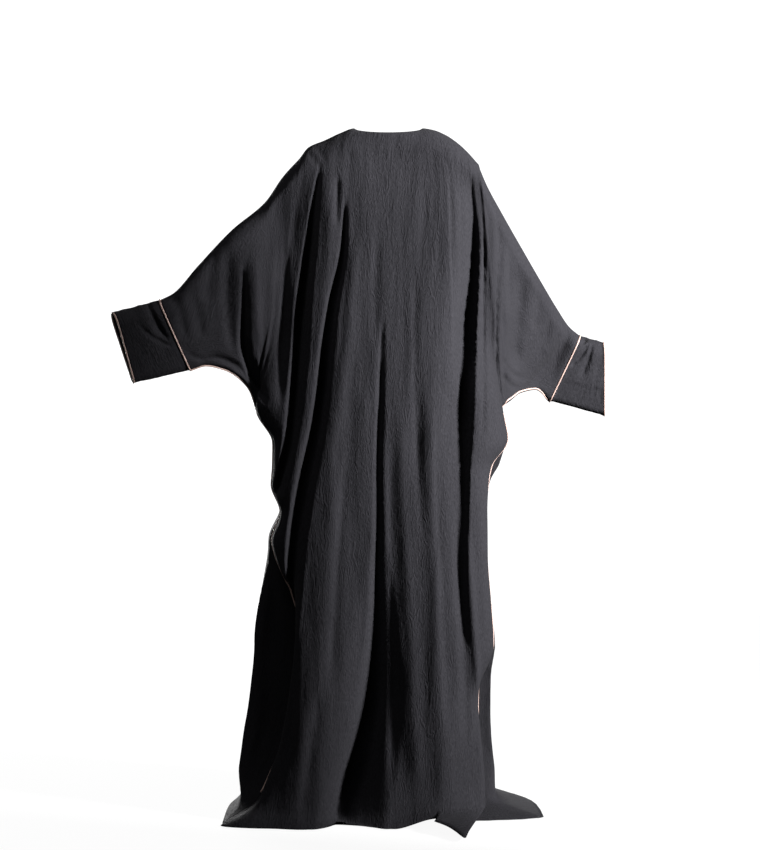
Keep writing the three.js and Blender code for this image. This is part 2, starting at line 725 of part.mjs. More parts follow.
// How far a cord stands off a seam so that it clears both panels, also where they meet in a notch
function seamClearance({ seam, column, row }) {
  const outside = normalAt(back, column, row);
  const inward = seam === "left" ? 1 : -1;
  const here = pointAt(back, column, row);
  const run = seamRun({ seam, column, row });
  let lean = 0;
  for (const grid of [back, front]) {
    for (const [columnStep, rowStep] of [[1, -1], [1, 0], [1, 1], [0, -1]]) {
      const place = grid === back ? column : frontColumnBy(column, seam);
      const near = pointAt(grid, place + columnStep * inward, row + rowStep);
      if (near !== undefined) {
        const toNear = near.clone().sub(here);
        lean = Math.max(lean, flattenOnto(toNear, run).dot(outside));
      }
    }
  }
  const tangent = (PIPING_RADIUS + SEAM_GAP) / Math.sqrt(1 - Math.min(lean, MOST_LEAN) ** 2);
  return tangent * (1 + NOTCH_SPARE * lean);
}

// The piping along the underarm and side seam, from the cuff's seam down to where the hem meets the floor
function sidePiping(side) {
  const places = seamPlacesOfBack.filter(
    ({ seam, column, row }) => seam === side && pointAt(back, column, row).z > PIPING_FOOT,
  );
  const path = places.map((place) =>
    pointAt(back, place.column, place.row)
      .clone()
      .addScaledVector(normalAt(back, place.column, place.row), seamClearance(place)),
  );
  const start = path[0].clone().lerp(path[1], (3 * PIPING_RADIUS) / path[0].distanceTo(path[1]));
  return named(`side_piping_${side}`, cordGeometry([start, ...path.slice(1)], false), TRIM);
}

const group = new THREE.Group();
group.add(panelSolid("back", back, () => true, 0));
group.add(panelSolid("front_left", front, (column) => column < front.last / 2, -SEAM_GAP / 2));
group.add(panelSolid("front_right", front, (column) => column >= front.last / 2, SEAM_GAP / 2));
for (const side of ["left", "right"]) {
  group.add(cuffSolid(side), ...cuffPiping(side), sidePiping(side));
}

export default group;
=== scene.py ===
"""A floor-length abaya of crinkled crepe with batwing sleeves, worn with both arms held out.

The cloth follows the form of the garment's solids, as thin shells with finer folds and creases.
Lengths are in millimetres until a mesh is made. +X is the wearer's right, +Y is ahead of the wearer
and +Z is up, from the middle of the neck opening.
"""
import logging
import math
from dataclasses import dataclass
from enum import Enum

import bpy
import numpy as np
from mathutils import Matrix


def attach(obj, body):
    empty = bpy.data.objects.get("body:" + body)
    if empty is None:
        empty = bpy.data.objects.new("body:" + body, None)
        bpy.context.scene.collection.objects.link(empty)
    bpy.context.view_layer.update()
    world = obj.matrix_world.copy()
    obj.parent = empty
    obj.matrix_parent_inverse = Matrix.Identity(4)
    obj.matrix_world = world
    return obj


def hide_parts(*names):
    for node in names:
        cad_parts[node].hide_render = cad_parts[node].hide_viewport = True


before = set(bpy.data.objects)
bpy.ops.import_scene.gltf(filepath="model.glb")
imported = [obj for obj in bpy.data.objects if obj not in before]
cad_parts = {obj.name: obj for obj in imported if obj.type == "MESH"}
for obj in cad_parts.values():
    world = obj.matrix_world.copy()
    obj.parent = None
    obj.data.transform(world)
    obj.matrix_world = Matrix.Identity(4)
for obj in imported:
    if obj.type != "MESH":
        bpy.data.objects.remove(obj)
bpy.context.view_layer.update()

LOG = logging.getLogger("abaya")
Array = np.ndarray
# A length in millimetres times this is in metres
METRE = 0.001


class Panel(Enum):
    """A panel of cloth, by the side of the wearer that it hangs on."""

    BACK = -1
    FRONT = 1


class Hand(Enum):
    """A side of the garment: left is towards -X."""

    LEFT = -1
    RIGHT = 1


class Press(Enum):
    """How a crease is pressed in across its line.

    SOFT is a rounded trough, SHARP a trough with a crisp floor, and CREST a crisp edge on the line
    with the trough beside it, towards the left of the garment.
    """

    SOFT = 0
    SHARP = 1
    CREST = 2


# How far each kind of crease is felt from its line, in widths, and how fast a sharp one rises
PRESS_REACH = {Press.SOFT: 3, Press.SHARP: 3, Press.CREST: 6}
SHARP_POWER = 1.25


# ---- Small helpers ------------------------------------------------------------------------------

# How many random heights the waves have each way, and how many waves lie before the first place
LATTICE = 97
LATTICE_START = 400
TINY = 1e-9


def clamp(value: Array, low: float = 0.0, high: float = 1.0) -> Array:
    """Keep values between two limits."""
    return np.clip(value, low, high)


def mix(first: Array, second: Array, share: Array) -> Array:
    """Blend two values."""
    return first + (second - first) * share


def ease(share: Array) -> Array:
    """Leave 0 and reach 1 without a corner."""
    return share * share * (3 - 2 * share)


def ease_between(value: Array, start: float, end: float) -> Array:
    """Ease from 0 at one value to 1 at another."""
    return ease(clamp((value - start) / (end - start)))


def quarter_round(share: Array) -> Array:
    """Leave 0 upright and reach 1 level, as a quarter of a circle does."""
    return np.sqrt(1 - (1 - clamp(share)) ** 2)


def unit(vectors: Array) -> Array:
    """Give vectors a length of 1."""
    return vectors / np.maximum(np.linalg.norm(vectors, axis=-1, keepdims=True), TINY)


def ripple(u: Array, v: Array, cell_u: float, cell_v: float, seed: int) -> Array:
    """Smooth uneven waves between -1 and 1.

    Args:
        u: Places along one direction.
        v: Places along the other.
        cell_u: The size of a wave along u.
        cell_v: The size of a wave along v.
        seed: The number that fixes the pattern.

    Returns:
        The height of the waves at each place.
    """
    size = LATTICE
    lattice = np.random.default_rng(seed).uniform(-1, 1, (size, size))
    a = u / cell_u + LATTICE_START
    b = v / cell_v + LATTICE_START
    i = np.floor(a).astype(int)
    j = np.floor(b).astype(int)
    s = ease(a - i)
    t = ease(b - j)
    low = mix(lattice[i % size, j % size], lattice[(i + 1) % size, j % size], s)
    high = mix(lattice[i % size, (j + 1) % size], lattice[(i + 1) % size, (j + 1) % size], s)
    return mix(low, high, t)


@dataclass(frozen=True)
class Wave:
    """A layer of small unevenness: its height and the sizes of its waves along two directions."""

    height: float
    cell_u: float
    cell_v: float


def rippled(start: Array, waves: tuple[Wave, ...], u: Array, v: Array, seed: int) -> Array:
    """Add layers of small waves.

    Args:
        start: The heights before.
        waves: The layers.
        u: Places along one direction.
        v: Places along the other.
        seed: The number that fixes the first layer, and one more for each that follows.

    Returns:
        The heights with the layers added.
    """
    total = start
    for number, wave in enumerate(waves):
        total = total + wave.height * ripple(u, v, wave.cell_u, wave.cell_v, seed + number)
    return total


def between(
    start: Array, end: Array, leave: Array, arrive: Array, span: Array, t: Array
) -> Array:
    """Places on a smooth curve from one point to the next.

    Args:
        start: The first point.
        end: The last point.
        leave: The slope at the first point.
        arrive: The slope at the last point.
        span: The distance between them.
        t: The share of that distance.

    Returns:
        The place at each share.
    """
    return (
        start * (1 + 2 * t) * (1 - t) ** 2
        + end * t * t * (3 - 2 * t)
        + span * (leave * t * (1 - t) ** 2 - arrive * t * t * (1 - t))
    )


def peak(share: Array) -> Array:
    """Rise from 0 to 1 a third of the way along, and fall back to 0 without a corner."""
    return 27 / 4 * share * (1 - share) ** 2


@dataclass(frozen=True)
class Track:
    """A short table with named columns and a smooth curve through each of them."""

    columns: tuple[str, ...]
    rows: tuple[tuple[float, ...], ...]

    def column(self, name: str) -> Array:
        """One column of the table."""
        return np.array([row[self.columns.index(name)] for row in self.rows], float)

    def at(self, value: Array, name: str) -> Array:
        """Read a column by the first one, which runs one way.

        Args:
            value: Places in the first column.
            name: The column that is read.

        Returns:
            Its value at each place, on a curve that never swings past its points.
        """
        keys = self.column(self.columns[0])
        rising = 1.0 if keys[-1] > keys[0] else -1.0
        values = self.column(name)
        place = np.asarray(value, float)
        last = len(keys) - 2
        i = np.clip(np.searchsorted(keys * rising, place * rising, side="left") - 1, 0, last)
        span = np.diff(keys)
        straight = np.diff(values) / span
        before = straight[:-1]
        after = straight[1:]
        both = before + after
        slope = np.zeros(len(keys))
        same = before * after > 0
        slope[1:-1][same] = 2 * before[same] * after[same] / both[same]
        leave = np.where(i == 0, straight[i], slope[i])
        arrive = np.where(i == last, straight[i], slope[i + 1])
        t = clamp((place - keys[i]) / span[i])
        return between(values[i], values[i + 1], leave, arrive, span[i], t)

    def point(self, share: Array) -> Array:
        """The x, y and z of the curve at each share of its length."""
        return np.stack([self.at(share, axis) for axis in ("x", "y", "z")], -1)


@dataclass(frozen=True)
class Fold:
    """A large hanging fold along a bowed line: a trough above 0 in depth, a ridge below.

    The widths and depths are those at its head and its foot, and the fade is the share of its
    length over which each end dies out.
    """

    head: tuple[float, float]
    foot: tuple[float, float]
    bow: float
    width: tuple[float, float]
    depth: tuple[float, float]
    fade: float = 0.18

    def push(self, x: Array, z: Array) -> Array:
        """How far the fold pushes the cloth in to the body.

        Args:
            x: Places across the garment.
            z: Heights on the garment.

        Returns:
            The depth at each place.
        """
        run_x = self.foot[0] - self.head[0]
        run_z = self.foot[1] - self.head[1]
        length = math.hypot(run_x, run_z)
        share = ((x - self.head[0]) * run_x + (z - self.head[1]) * run_z) / length**2
        inside = (share > 0) & (share < 1)
        bowed = self.bow * 4 * share * (1 - share)
        aside = ((x - self.head[0]) * -run_z + (z - self.head[1]) * run_x) / length - bowed
        width = mix(self.width[0], self.width[1], clamp(share))
        fade = ease_between(share, 0, self.fade) * ease_between(1 - share, 0, self.fade)
        depth = mix(self.depth[0], self.depth[1], share) * fade
        return np.where(inside, depth * np.exp(-((aside / width) ** 2)), 0.0)


@dataclass(frozen=True)
class Crease:
    """A finer fold, laid along a path of points across and up the garment.

    Its widths and depths are spread evenly along the path, and below 0 in depth it is a ridge. A
    skew above 0 makes it wider towards the right of the garment, where the path runs down. The
    fade is the share of the path over which each end dies out.
    """

    path: tuple[tuple[float, float], ...]
    width: tuple[float, ...]
    depth: tuple[float, ...]
    skew: float = 0.0
    fade: float = 0.2
    press: Press = Press.SOFT

    def line(self, count: int = 56) -> Array:
        """The path as a smooth line.

        Args:
            count: How many points it has.

        Returns:
            Points x, z along it.
        """
        points = np.array(self.path, float)
        if len(points) == 2:
            return mix(points[0], points[1], np.linspace(0, 1, count)[:, None])
        run = np.r_[0, np.cumsum(np.linalg.norm(np.diff(points, axis=0), axis=1))]
        at = np.linspace(0, run[-1], count)
        slopes = np.gradient(points, run, axis=0)
        i = np.clip(np.searchsorted(run, at, side="right") - 1, 0, len(run) - 2)
        span = (run[i + 1] - run[i])[:, None]
        t = (at - run[i])[:, None] / span
        return between(points[i], points[i + 1], slopes[i], slopes[i + 1], span, t)

    def push(self, x: Array, z: Array) -> Array:
        """How deep the crease lies at each place.

        Args:
            x: Places across the garment.
            z: Heights on the garment.

        Returns:
            The depth at each place, above 0 in to the body.
        """
        line = self.line()
        reach = PRESS_REACH[self.press] * max(self.width) * (1 + abs(self.skew))
        low = line.min(0) - reach
        high = line.max(0) + reach
        near = (x > low[0]) & (x < high[0]) & (z > low[1]) & (z < high[1])
        total = np.zeros_like(x)
        if not near.any():
            return total
        spot = np.stack([x[near], z[near]], -1)
        start = line[:-1]
        step = np.diff(line, axis=0)
        size = (step**2).sum(1)
        to_spot = spot[:, None, :] - start[None]
        share = clamp((to_spot * step[None]).sum(-1) / size[None])
        gap = to_spot - share[..., None] * step[None]
        best = (gap**2).sum(-1).argmin(1)
        pick = np.arange(len(spot))
        gap = gap[pick, best]
        along = (best + share[pick, best]) / len(start)
        turn = step[best]
        side = np.sign(turn[:, 0] * gap[:, 1] - turn[:, 1] * gap[:, 0])
        width = self.spread(self.width, along) * (1 + self.skew * side)
        fade = ease_between(along, 0, self.fade) * ease_between(1 - along, 0, self.fade)
        distance = np.linalg.norm(gap, axis=1) / width
        total[near] = self.spread(self.depth, along) * fade * self.across(distance, side)
        return total

    def across(self, distance: Array, side: Array) -> Array:
        """The form of the crease across its line.

        Args:
            distance: How far each place lies from the line, in widths.
            side: The side that it lies on, 1 towards the right of the garment.

        Returns:
            The share of the crease's depth.
        """
        if self.press is Press.SOFT:
            return np.exp(-(distance**2))
        if self.press is Press.SHARP:
            return clamp(1 - distance) ** SHARP_POWER
        return np.where(side < 0, distance * np.exp(1 - distance), 0.0)

    @staticmethod
    def spread(values: tuple[float, ...], along: Array) -> Array:
        """Read a list of values that is spread evenly along the crease."""
        return np.interp(along, np.linspace(0, 1, len(values)), values)


# ---- The form of the garment --------------------------------------------------------------------


@dataclass(frozen=True)
class Form:
    """The sizes that fix the form of the whole garment.

    The levels give, by height, both side seams, the depths of the back and the front, and how far
    the cloth swings out beside each seam. The shoulders are the line of their seam.
    """

    floor: float = -1538.0
    neck_half_width: float = 76.0
    neck_reach: tuple[float, float] = (-62.0, 84.0)
    neck_drop: tuple[float, float] = (14.0, 78.0)
    shoulder_roll: float = 60.0
    wrist_roll: float = 38.0
    sleeve_depth: float = 84.0
    wrist_depth: float = 42.0
    cuff_depth: float = 40.0
    cuff_slant: tuple[float, float] = (0.27, 0.0)
    underarm_roll: float = 14.0
    underarm_share: float = 0.3
    sleeve_taper: float = 0.8
    sleeve_fade: tuple[float, float, float] = (0.15, 0.12, 0.15)
    turn_share: float = 0.2
    seamed: tuple[float, float] = (-460.0, -650.0)
    fan: tuple[float, float] = (-300.0, 215.0)
    swing_hold: float = 0.36
    swing_drift: float = 0.14
    full_swing: float = 90.0
    hem_lift: float = 24.0
    hem_lift_z: float = -1440.0
    hem_lift_x: tuple[float, float] = (10.0, 110.0)
    trail_z: float = -1498.0
    trail_shift: tuple[float, float] = (-68.0, -150.0)
    trail_reach: float = 0.66
    crowding: tuple[float, float, float] = (0.7, 0.7, 1.1)

    levels: Track = Track(
        (
            "z", "leftX", "leftY", "rightX", "rightY", "back", "front",
            "backLeft", "backRight", "frontLeft", "frontRight",
        ),
        (
            (-68, -200, 0, 204, 0, -78, 70, 0, 0, 0, 0),
            (-200, -222, -10, 218, 14, -106, 108, 0, 0, 0, 0),
            (-400, -255, -26, 237, 35, -116, 124, 0, 0, 0, 0),
            (-640, -295, -45, 262, 60, -124, 120, 0, 0, 0, 0),
            (-708, -257, -42, 273, 54, -126, 120, 0, 0, 0, 6),
            (-765, -258, -38, 236, 38, -128, 121, 0, 0, 0, 32),
            (-805, -261, -35, 226, 29, -129, 122, 0, 5, 2, 18),
            (-866, -241, -32, 219, 17, -131, 123, 0, 10, 10, 8),
            (-930, -260, -30, 218, 4, -134, 125, 0, 12, 20, 8),
            (-960, -254, -31, 218, -1, -136, 126, 0, 12, 28, 8),
            (-1050, -216, -35, 224, -5, -142, 130, 0, 12, 72, 12),
            (-1165, -186, -35, 235, -10, -150, 137, 8, 6, 108, 20),
            (-1260, -196, -38, 200, -28, -160, 145, 14, 4, 108, 46),
            (-1345, -212, -42, 190, -35, -172, 154, 18, 18, 108, 54),
            (-1440, -250, -60, 180, -60, -188, 165, 18, 40, 92, 68),
            (-1505, -294, -105, 168, -105, -208, 182, 10, 52, 50, 80),
            (-1538, -362, -180, 142, -165, -236, 212, 12, 80, 8, 204),
        ),
    )
    shoulders: Track = Track(
        ("x", "z"),
        (
            (-200, -68), (-180, -43), (-143, -27), (-109, -11), (-76, 0), (76, 0),
            (102, -4), (129, -15), (152, -30), (175, -50), (204, -82),
        ),
    )


@dataclass(frozen=True)
class Arm:
    """The lines of one sleeve, from the body out to the cuff, and the cuff's open end."""

    over: Track
    under: Track
    end_top: tuple[float, float, float]
    end_bottom: tuple[float, float, float]


ARM_COLUMNS = ("share", "x", "y", "z")
FORM = Form()
ARMS = {
    Hand.LEFT: Arm(
        over=Track(
            ARM_COLUMNS,
            (
                (0, -200, 0, -68), (0.12, -238, -5, -110), (0.27, -278, -20, -169),
                (0.5, -351, -50, -233), (0.76, -428, -80, -318), (0.91, -478, -98, -376),
                (1, -507, -105, -391),
            ),
        ),
        under=Track(
            ARM_COLUMNS,
            (
                (0, -295, -45, -640), (0.25, -310, -55, -595), (0.42, -336, -65, -565),
                (0.58, -364, -75, -548), (0.8, -406, -88, -538), (1, -440, -100, -547),
            ),
        ),
        end_top=(-609, -130, -418),
        end_bottom=(-562, -125, -575),
    ),
    Hand.RIGHT: Arm(
        over=Track(
            ARM_COLUMNS,
            (
                (0, 204, 0, -82), (0.11, 225, 10, -130), (0.24, 261, 40, -192),
                (0.44, 310, 90, -271), (0.63, 361, 150, -351), (0.8, 401, 195, -412),
                (0.91, 430, 217, -452), (1, 456, 230, -473),
            ),
        ),
        under=Track(
            ARM_COLUMNS,
            (
                (0, 262, 60, -635), (0.22, 284, 95, -622), (0.42, 309, 135, -606),
                (0.7, 346, 180, -600), (1, 383, 215, -628),
            ),
        ),
        end_top=(513, 260, -488),
        end_bottom=(514, 245, -664),
    ),
}

FOLDS = {
    Panel.BACK: (
        Fold((-118, -150), (-160, -560), 0, (14, 14), (-5, -4)),
        Fold((-262, -190), (-312, -600), 0, (75, 60), (-34, -18), fade=0.42),
        Fold((-236, -270), (-240, -640), 0, (16, 18), (4, 6)),
        Fold((240, -150), (262, -610), 0, (46, 50), (-17, -18), fade=0.3),
        Fold((258, -190), (262, -615), 0, (12, 12), (12, 14)),
        Fold((312, -320), (290, -560), 0, (18, 18), (8, 10)),
        Fold((90, -520), (130, -1620), 0, (18, 40), (-6, -14)),
        Fold((-112, -700), (-190, -1620), 0, (20, 45), (-8, -16)),
    ),
    Panel.FRONT: (
        Fold((-140, -180), (-215, -1250), 10, (16, 26), (16, 24)),
        Fold((-75, -260), (-110, -1620), -8, (16, 44), (10, 34)),
        Fold((62, -240), (84, -1620), 8, (16, 40), (10, 30)),
        Fold((138, -160), (160, -1300), -10, (15, 26), (18, 24)),
        Fold((-330, -270), (-290, -600), 0, (16, 20), (8, 12)),
        Fold((330, -360), (296, -580), 0, (16, 20), (8, 12)),
    ),
}

CREASES = {
    Panel.BACK: (
        # The two deep folds that fall from the left shoulder, with the ridges beside them
        Crease(((-152, -84), (-160, -126), (-184, -281), (-197, -391), (-204, -502), (-213, -613),
                (-228, -723), (-244, -790), (-254, -840)),
               (7, 12, 17, 20, 21, 20, 18, 15), (8, 22, 40, 46, 47, 45, 38, 25), skew=0.5, fade=0.06,
               press=Press.SHARP),
        Crease(((-93, -150), (-95, -177), (-104, -281), (-128, -391), (-144, -502), (-157, -613),
                (-177, -723), (-201, -834), (-215, -945), (-221, -1055), (-230, -1190)),
               (5, 10, 15, 17, 19, 22, 25, 25, 21, 16), (6, 22, 36, 42, 43, 48, 52, 48, 32, 16),
               skew=0.5, fade=0.06, press=Press.SHARP),
        Crease(((-64, -220), (-80, -360), (-98, -520), (-122, -700), (-150, -860)), (12, 16), (-5, -6)),
        Crease(((-111, -110), (-115, -230)), (6, 7), (7, 5)),
        Crease(((-184, -56), (-148, -96)), (6, 6), (4, 3)),
        Crease(((-170, -42), (-136, -80)), (6, 6), (3, 2)),
        Crease(((-226, -1000), (-208, -1180), (-214, -1330), (-238, -1450)), (9, 14), (5, 8)),
        # The left wing
        Crease(((-321, -290), (-324, -407), (-323, -509), (-306, -560), (-281, -606), (-272, -626)),
               (3, 8, 13, 17, 15, 10), (3, 12, 22, 27, 22, 12), skew=0.5, fade=0.08, press=Press.SHARP),
        Crease(((-296, -280), (-294, -400), (-284, -520)), (10, 12), (-5, -4)),
        Crease(((-228, -250), (-232, -303), (-233, -436), (-237, -560), (-240, -657)),
               (6, 10, 13, 13, 10), (4, 6, 6, 5, 3), skew=0.4, fade=0.15),
        Crease(((-383, -281), (-398, -340), (-405, -400)), (10, 12), (4, 5), skew=0.2),
        Crease(((-352, -262), (-360, -350), (-354, -450), (-340, -520)), (11, 14), (4, 6), skew=0.2),
        Crease(((-494, -384), (-472, -394), (-458, -440), (-448, -486)), (6, 8), (6, 5)),
        Crease(((-456, -504), (-432, -517), (-404, -526)), (6, 7), (5, 3)),
        Crease(((-440, -360), (-424, -420), (-414, -480)), (8, 10), (3, 4)),
        Crease(((-430, -528), (-380, -520), (-336, -540), (-300, -580)), (7, 9), (5, 6)),
        # The middle
        Crease(((-12, -420), (-20, -620), (-24, -800), (-25, -945), (-30, -1150), (-44, -1277),
                (-76, -1400), (-108, -1500), (-124, -1570)),
               (8, 10, 12, 17, 32, 54, 70, 78), (5, 8, 11, 19, 38, 56, 68, 74), skew=0.45, fade=0.05,
               press=Press.SHARP),
        Crease(((-12, -470), (-17, -640), (-19, -800), (-16, -960)), (7, 8), (4, 4)),
        Crease(((2, -640), (6, -800), (8, -960), (14, -1200), (12, -1520)),
               (16, 24, 32, 36), (5, 10, 15, 16), skew=0.55),
        Crease(((34, -560), (30, -760), (40, -1000), (56, -1300), (70, -1560)), (14, 24), (-4, -9)),
        Crease(((-95, -723), (-106, -880), (-117, -1055), (-130, -1260)), (7, 10), (4, 5), skew=0.3),
        Crease(((-52, -560), (-56, -760), (-62, -920)), (14, 16), (-4, -4)),
        Crease(((-36, -980), (-50, -1150), (-66, -1300), (-92, -1420), (-120, -1540)),
               (24, 40, 50), (5, 18, 22), skew=0.3),
        Crease(((62, -300), (58, -480), (64, -700), (74, -940)), (8, 10), (3, 4), skew=0.3),
        Crease(((108, -620), (112, -860), (124, -1120), (132, -1380)), (9, 14), (4, 5), skew=0.3),
        Crease(((-20, -240), (-28, -380), (-24, -520)), (10, 12), (3, 3)),
        Crease(((-150, -1240), (-168, -1380), (-190, -1540)), (12, 20), (5, 11), skew=0.2),
        Crease(((-60, -1380), (-84, -1460), (-112, -1536)), (14, 22), (4, 9)),
        # The folds that fall from the right shoulder
        Crease(((131, -56), (140, -159), (143, -303), (148, -436), (158, -620)),
               (5, 9, 11, 12, 12), (2, 4, 5, 5, 3), skew=0.55, press=Press.SHARP),
        Crease(((158, -90), (165, -236), (166, -440), (166, -600), (164, -760)),
               (5, 6, 7, 7, 6), (2, 4, 5, 4, 2), skew=0.4, press=Press.SHARP),
        Crease(((186, -88), (194, -159), (201, -214), (204, -325), (201, -436), (196, -546),
                (190, -657), (185, -739), (181, -878), (177, -1055), (182, -1188)),
               (5, 8, 13, 16, 18, 18, 16, 14, 12, 10, 8), (2, 9, 27, 42, 47, 42, 30, 20, 13, 8, 5),
               fade=0.06, press=Press.CREST),
        Crease(((195, -103), (209, -159), (213, -214), (215, -380), (215, -600), (211, -720)),
               (4, 5, 5, 5, 5), (1.5, 4, 7, 8, 5), fade=0.1, press=Press.SHARP),
        Crease(((214, -132), (232, -166), (246, -205), (250, -236), (250, -400), (252, -560),
                (256, -612)),
               (5, 7, 7, 6, 5, 5, 5), (3, 8, 12, 15, 16, 15, 10), skew=0.25, fade=0.06,
               press=Press.SHARP),
        Crease(((176, -860), (184, -1011), (196, -1233), (204, -1365), (206, -1480)), (7, 8), (-7, -8)),
        Crease(((152, -800), (160, -980), (168, -1180), (172, -1400)), (8, 11), (5, 7)),
        # The right wing
        Crease(((308, -343), (299, -458), (287, -550)), (11, 12), (5, 6), skew=0.2),
        Crease(((350, -366), (349, -412), (340, -460)), (9, 10), (4, 4)),
        Crease(((430, -440), (414, -486), (396, -520), (370, -548), (328, -589), (308, -600)),
               (9, 14, 18, 20, 18, 12), (8, 14, 16, 15, 9, 4), skew=0.5, fade=0.1),
        Crease(((276, -230), (284, -330), (286, -440), (276, -560)),
               (16, 24, 26), (6, 15, 17, 9), skew=0.6),
        Crease(((262, -560), (284, -586), (312, -598)), (6, 7), (5, 4)),
        Crease(((262, -520), (290, -560), (330, -578)), (6, 7), (4, 4)),
        Crease(((396, -430), (384, -476), (362, -520)), (9, 10), (-4, -4)),
        Crease(((274, -250), (280, -330), (276, -430)), (9, 10), (4, 4)),
    ),
    Panel.FRONT: (
        Crease(((-140, -170), (-160, -420), (-182, -720), (-204, -1020), (-216, -1260)),
               (8, 12), (7, 7), skew=0.2),
        Crease(((-112, -210), (-128, -480), (-148, -760)), (9, 11), (-5, -4)),
        Crease(((-74, -280), (-84, -560), (-92, -860), (-104, -1180), (-112, -1530)), (8, 16), (5, 10)),
        Crease(((60, -260), (66, -560), (76, -900), (82, -1240), (88, -1530)),
               (8, 16), (5, 9), skew=-0.2),
        Crease(((138, -150), (142, -420), (150, -760), (160, -1080), (164, -1300)), (8, 11), (7, 7)),
        Crease(((112, -200), (118, -460), (124, -760)), (9, 10), (-4, -4)),
        Crease(((-330, -290), (-318, -420), (-298, -560)), (9, 11), (5, 6)),
        Crease(((-390, -300), (-396, -400), (-388, -480)), (9, 11), (3, 4)),
        Crease(((-260, -200), (-268, -360), (-262, -560)), (11, 12), (4, 5)),
        Crease(((330, -370), (318, -460), (300, -560)), (9, 11), (5, 6)),
        Crease(((262, -210), (270, -380), (268, -560)), (10, 12), (4, 5)),
        Crease(((400, -440), (384, -510), (350, -570)), (7, 9), (5, 6)),
        Crease(((-258, -980), (-290, -1160), (-300, -1340), (-318, -1480)), (9, 14), (5, 7)),
        Crease(((232, -1180), (236, -1320), (246, -1440)), (8, 12), (4, 6)),
        Crease(((-160, -900), (-172, -1160), (-196, -1420)), (10, 15), (-4, -6)),
        Crease(((30, -620), (34, -980), (38, -1400)), (10, 14), (-3, -5)),
    ),
}


def sleeve_profile(share: Array, depth_down: Array, roll: Array) -> Array:
    """Half the thickness of a sleeve from its top to its underarm seam.

    Args:
        share: The share of the way down, 0 at the top.
        depth_down: The sleeve's height there.
        roll: The radius over which the cloth rolls across the top.

    Returns:
        The half thickness as a share of the sleeve's depth.
    """
    over = quarter_round(share * depth_down / roll)
    under = quarter_round((1 - share) * depth_down / FORM.underarm_roll)
    return over * under * mix(1.0, FORM.underarm_share, share)


def large_folds(panel: Panel, x: Array, z: Array) -> Array:
    """How far a panel's large folds push it in to the body."""
    return sum(fold.push(x, z) for fold in FOLDS[panel])


def sleeve_points(panel: Panel, hand: Hand, out: Array, down: Array) -> Array:
    """Points on a sleeve.

    Args:
        panel: The panel that it belongs to.
        hand: The side of the garment.
        out: The share of the way from the body to the cuff.
        down: The share of the way from the top to the underarm seam.

    Returns:
        The points in millimetres.
    """
    arm = ARMS[hand]
    top = arm.over.point(out)
    bottom = arm.under.point(out)
    points = mix(top, bottom, down[..., None])
    depth = mix(FORM.sleeve_depth, FORM.wrist_depth, out**FORM.sleeve_taper)
    roll = mix(FORM.shoulder_roll, FORM.wrist_roll, out)
    height = np.linalg.norm(bottom - top, axis=-1)
    points[..., 1] += panel.value * depth * sleeve_profile(down, height, roll)
    over, under, wrist = FORM.sleeve_fade
    clear = ease_between(down, 0, over) * ease_between(1 - down, 0, under) * ease_between(1 - out, 0, wrist)
    points[..., 1] -= panel.value * large_folds(panel, points[..., 0], points[..., 2]) * clear
    return points


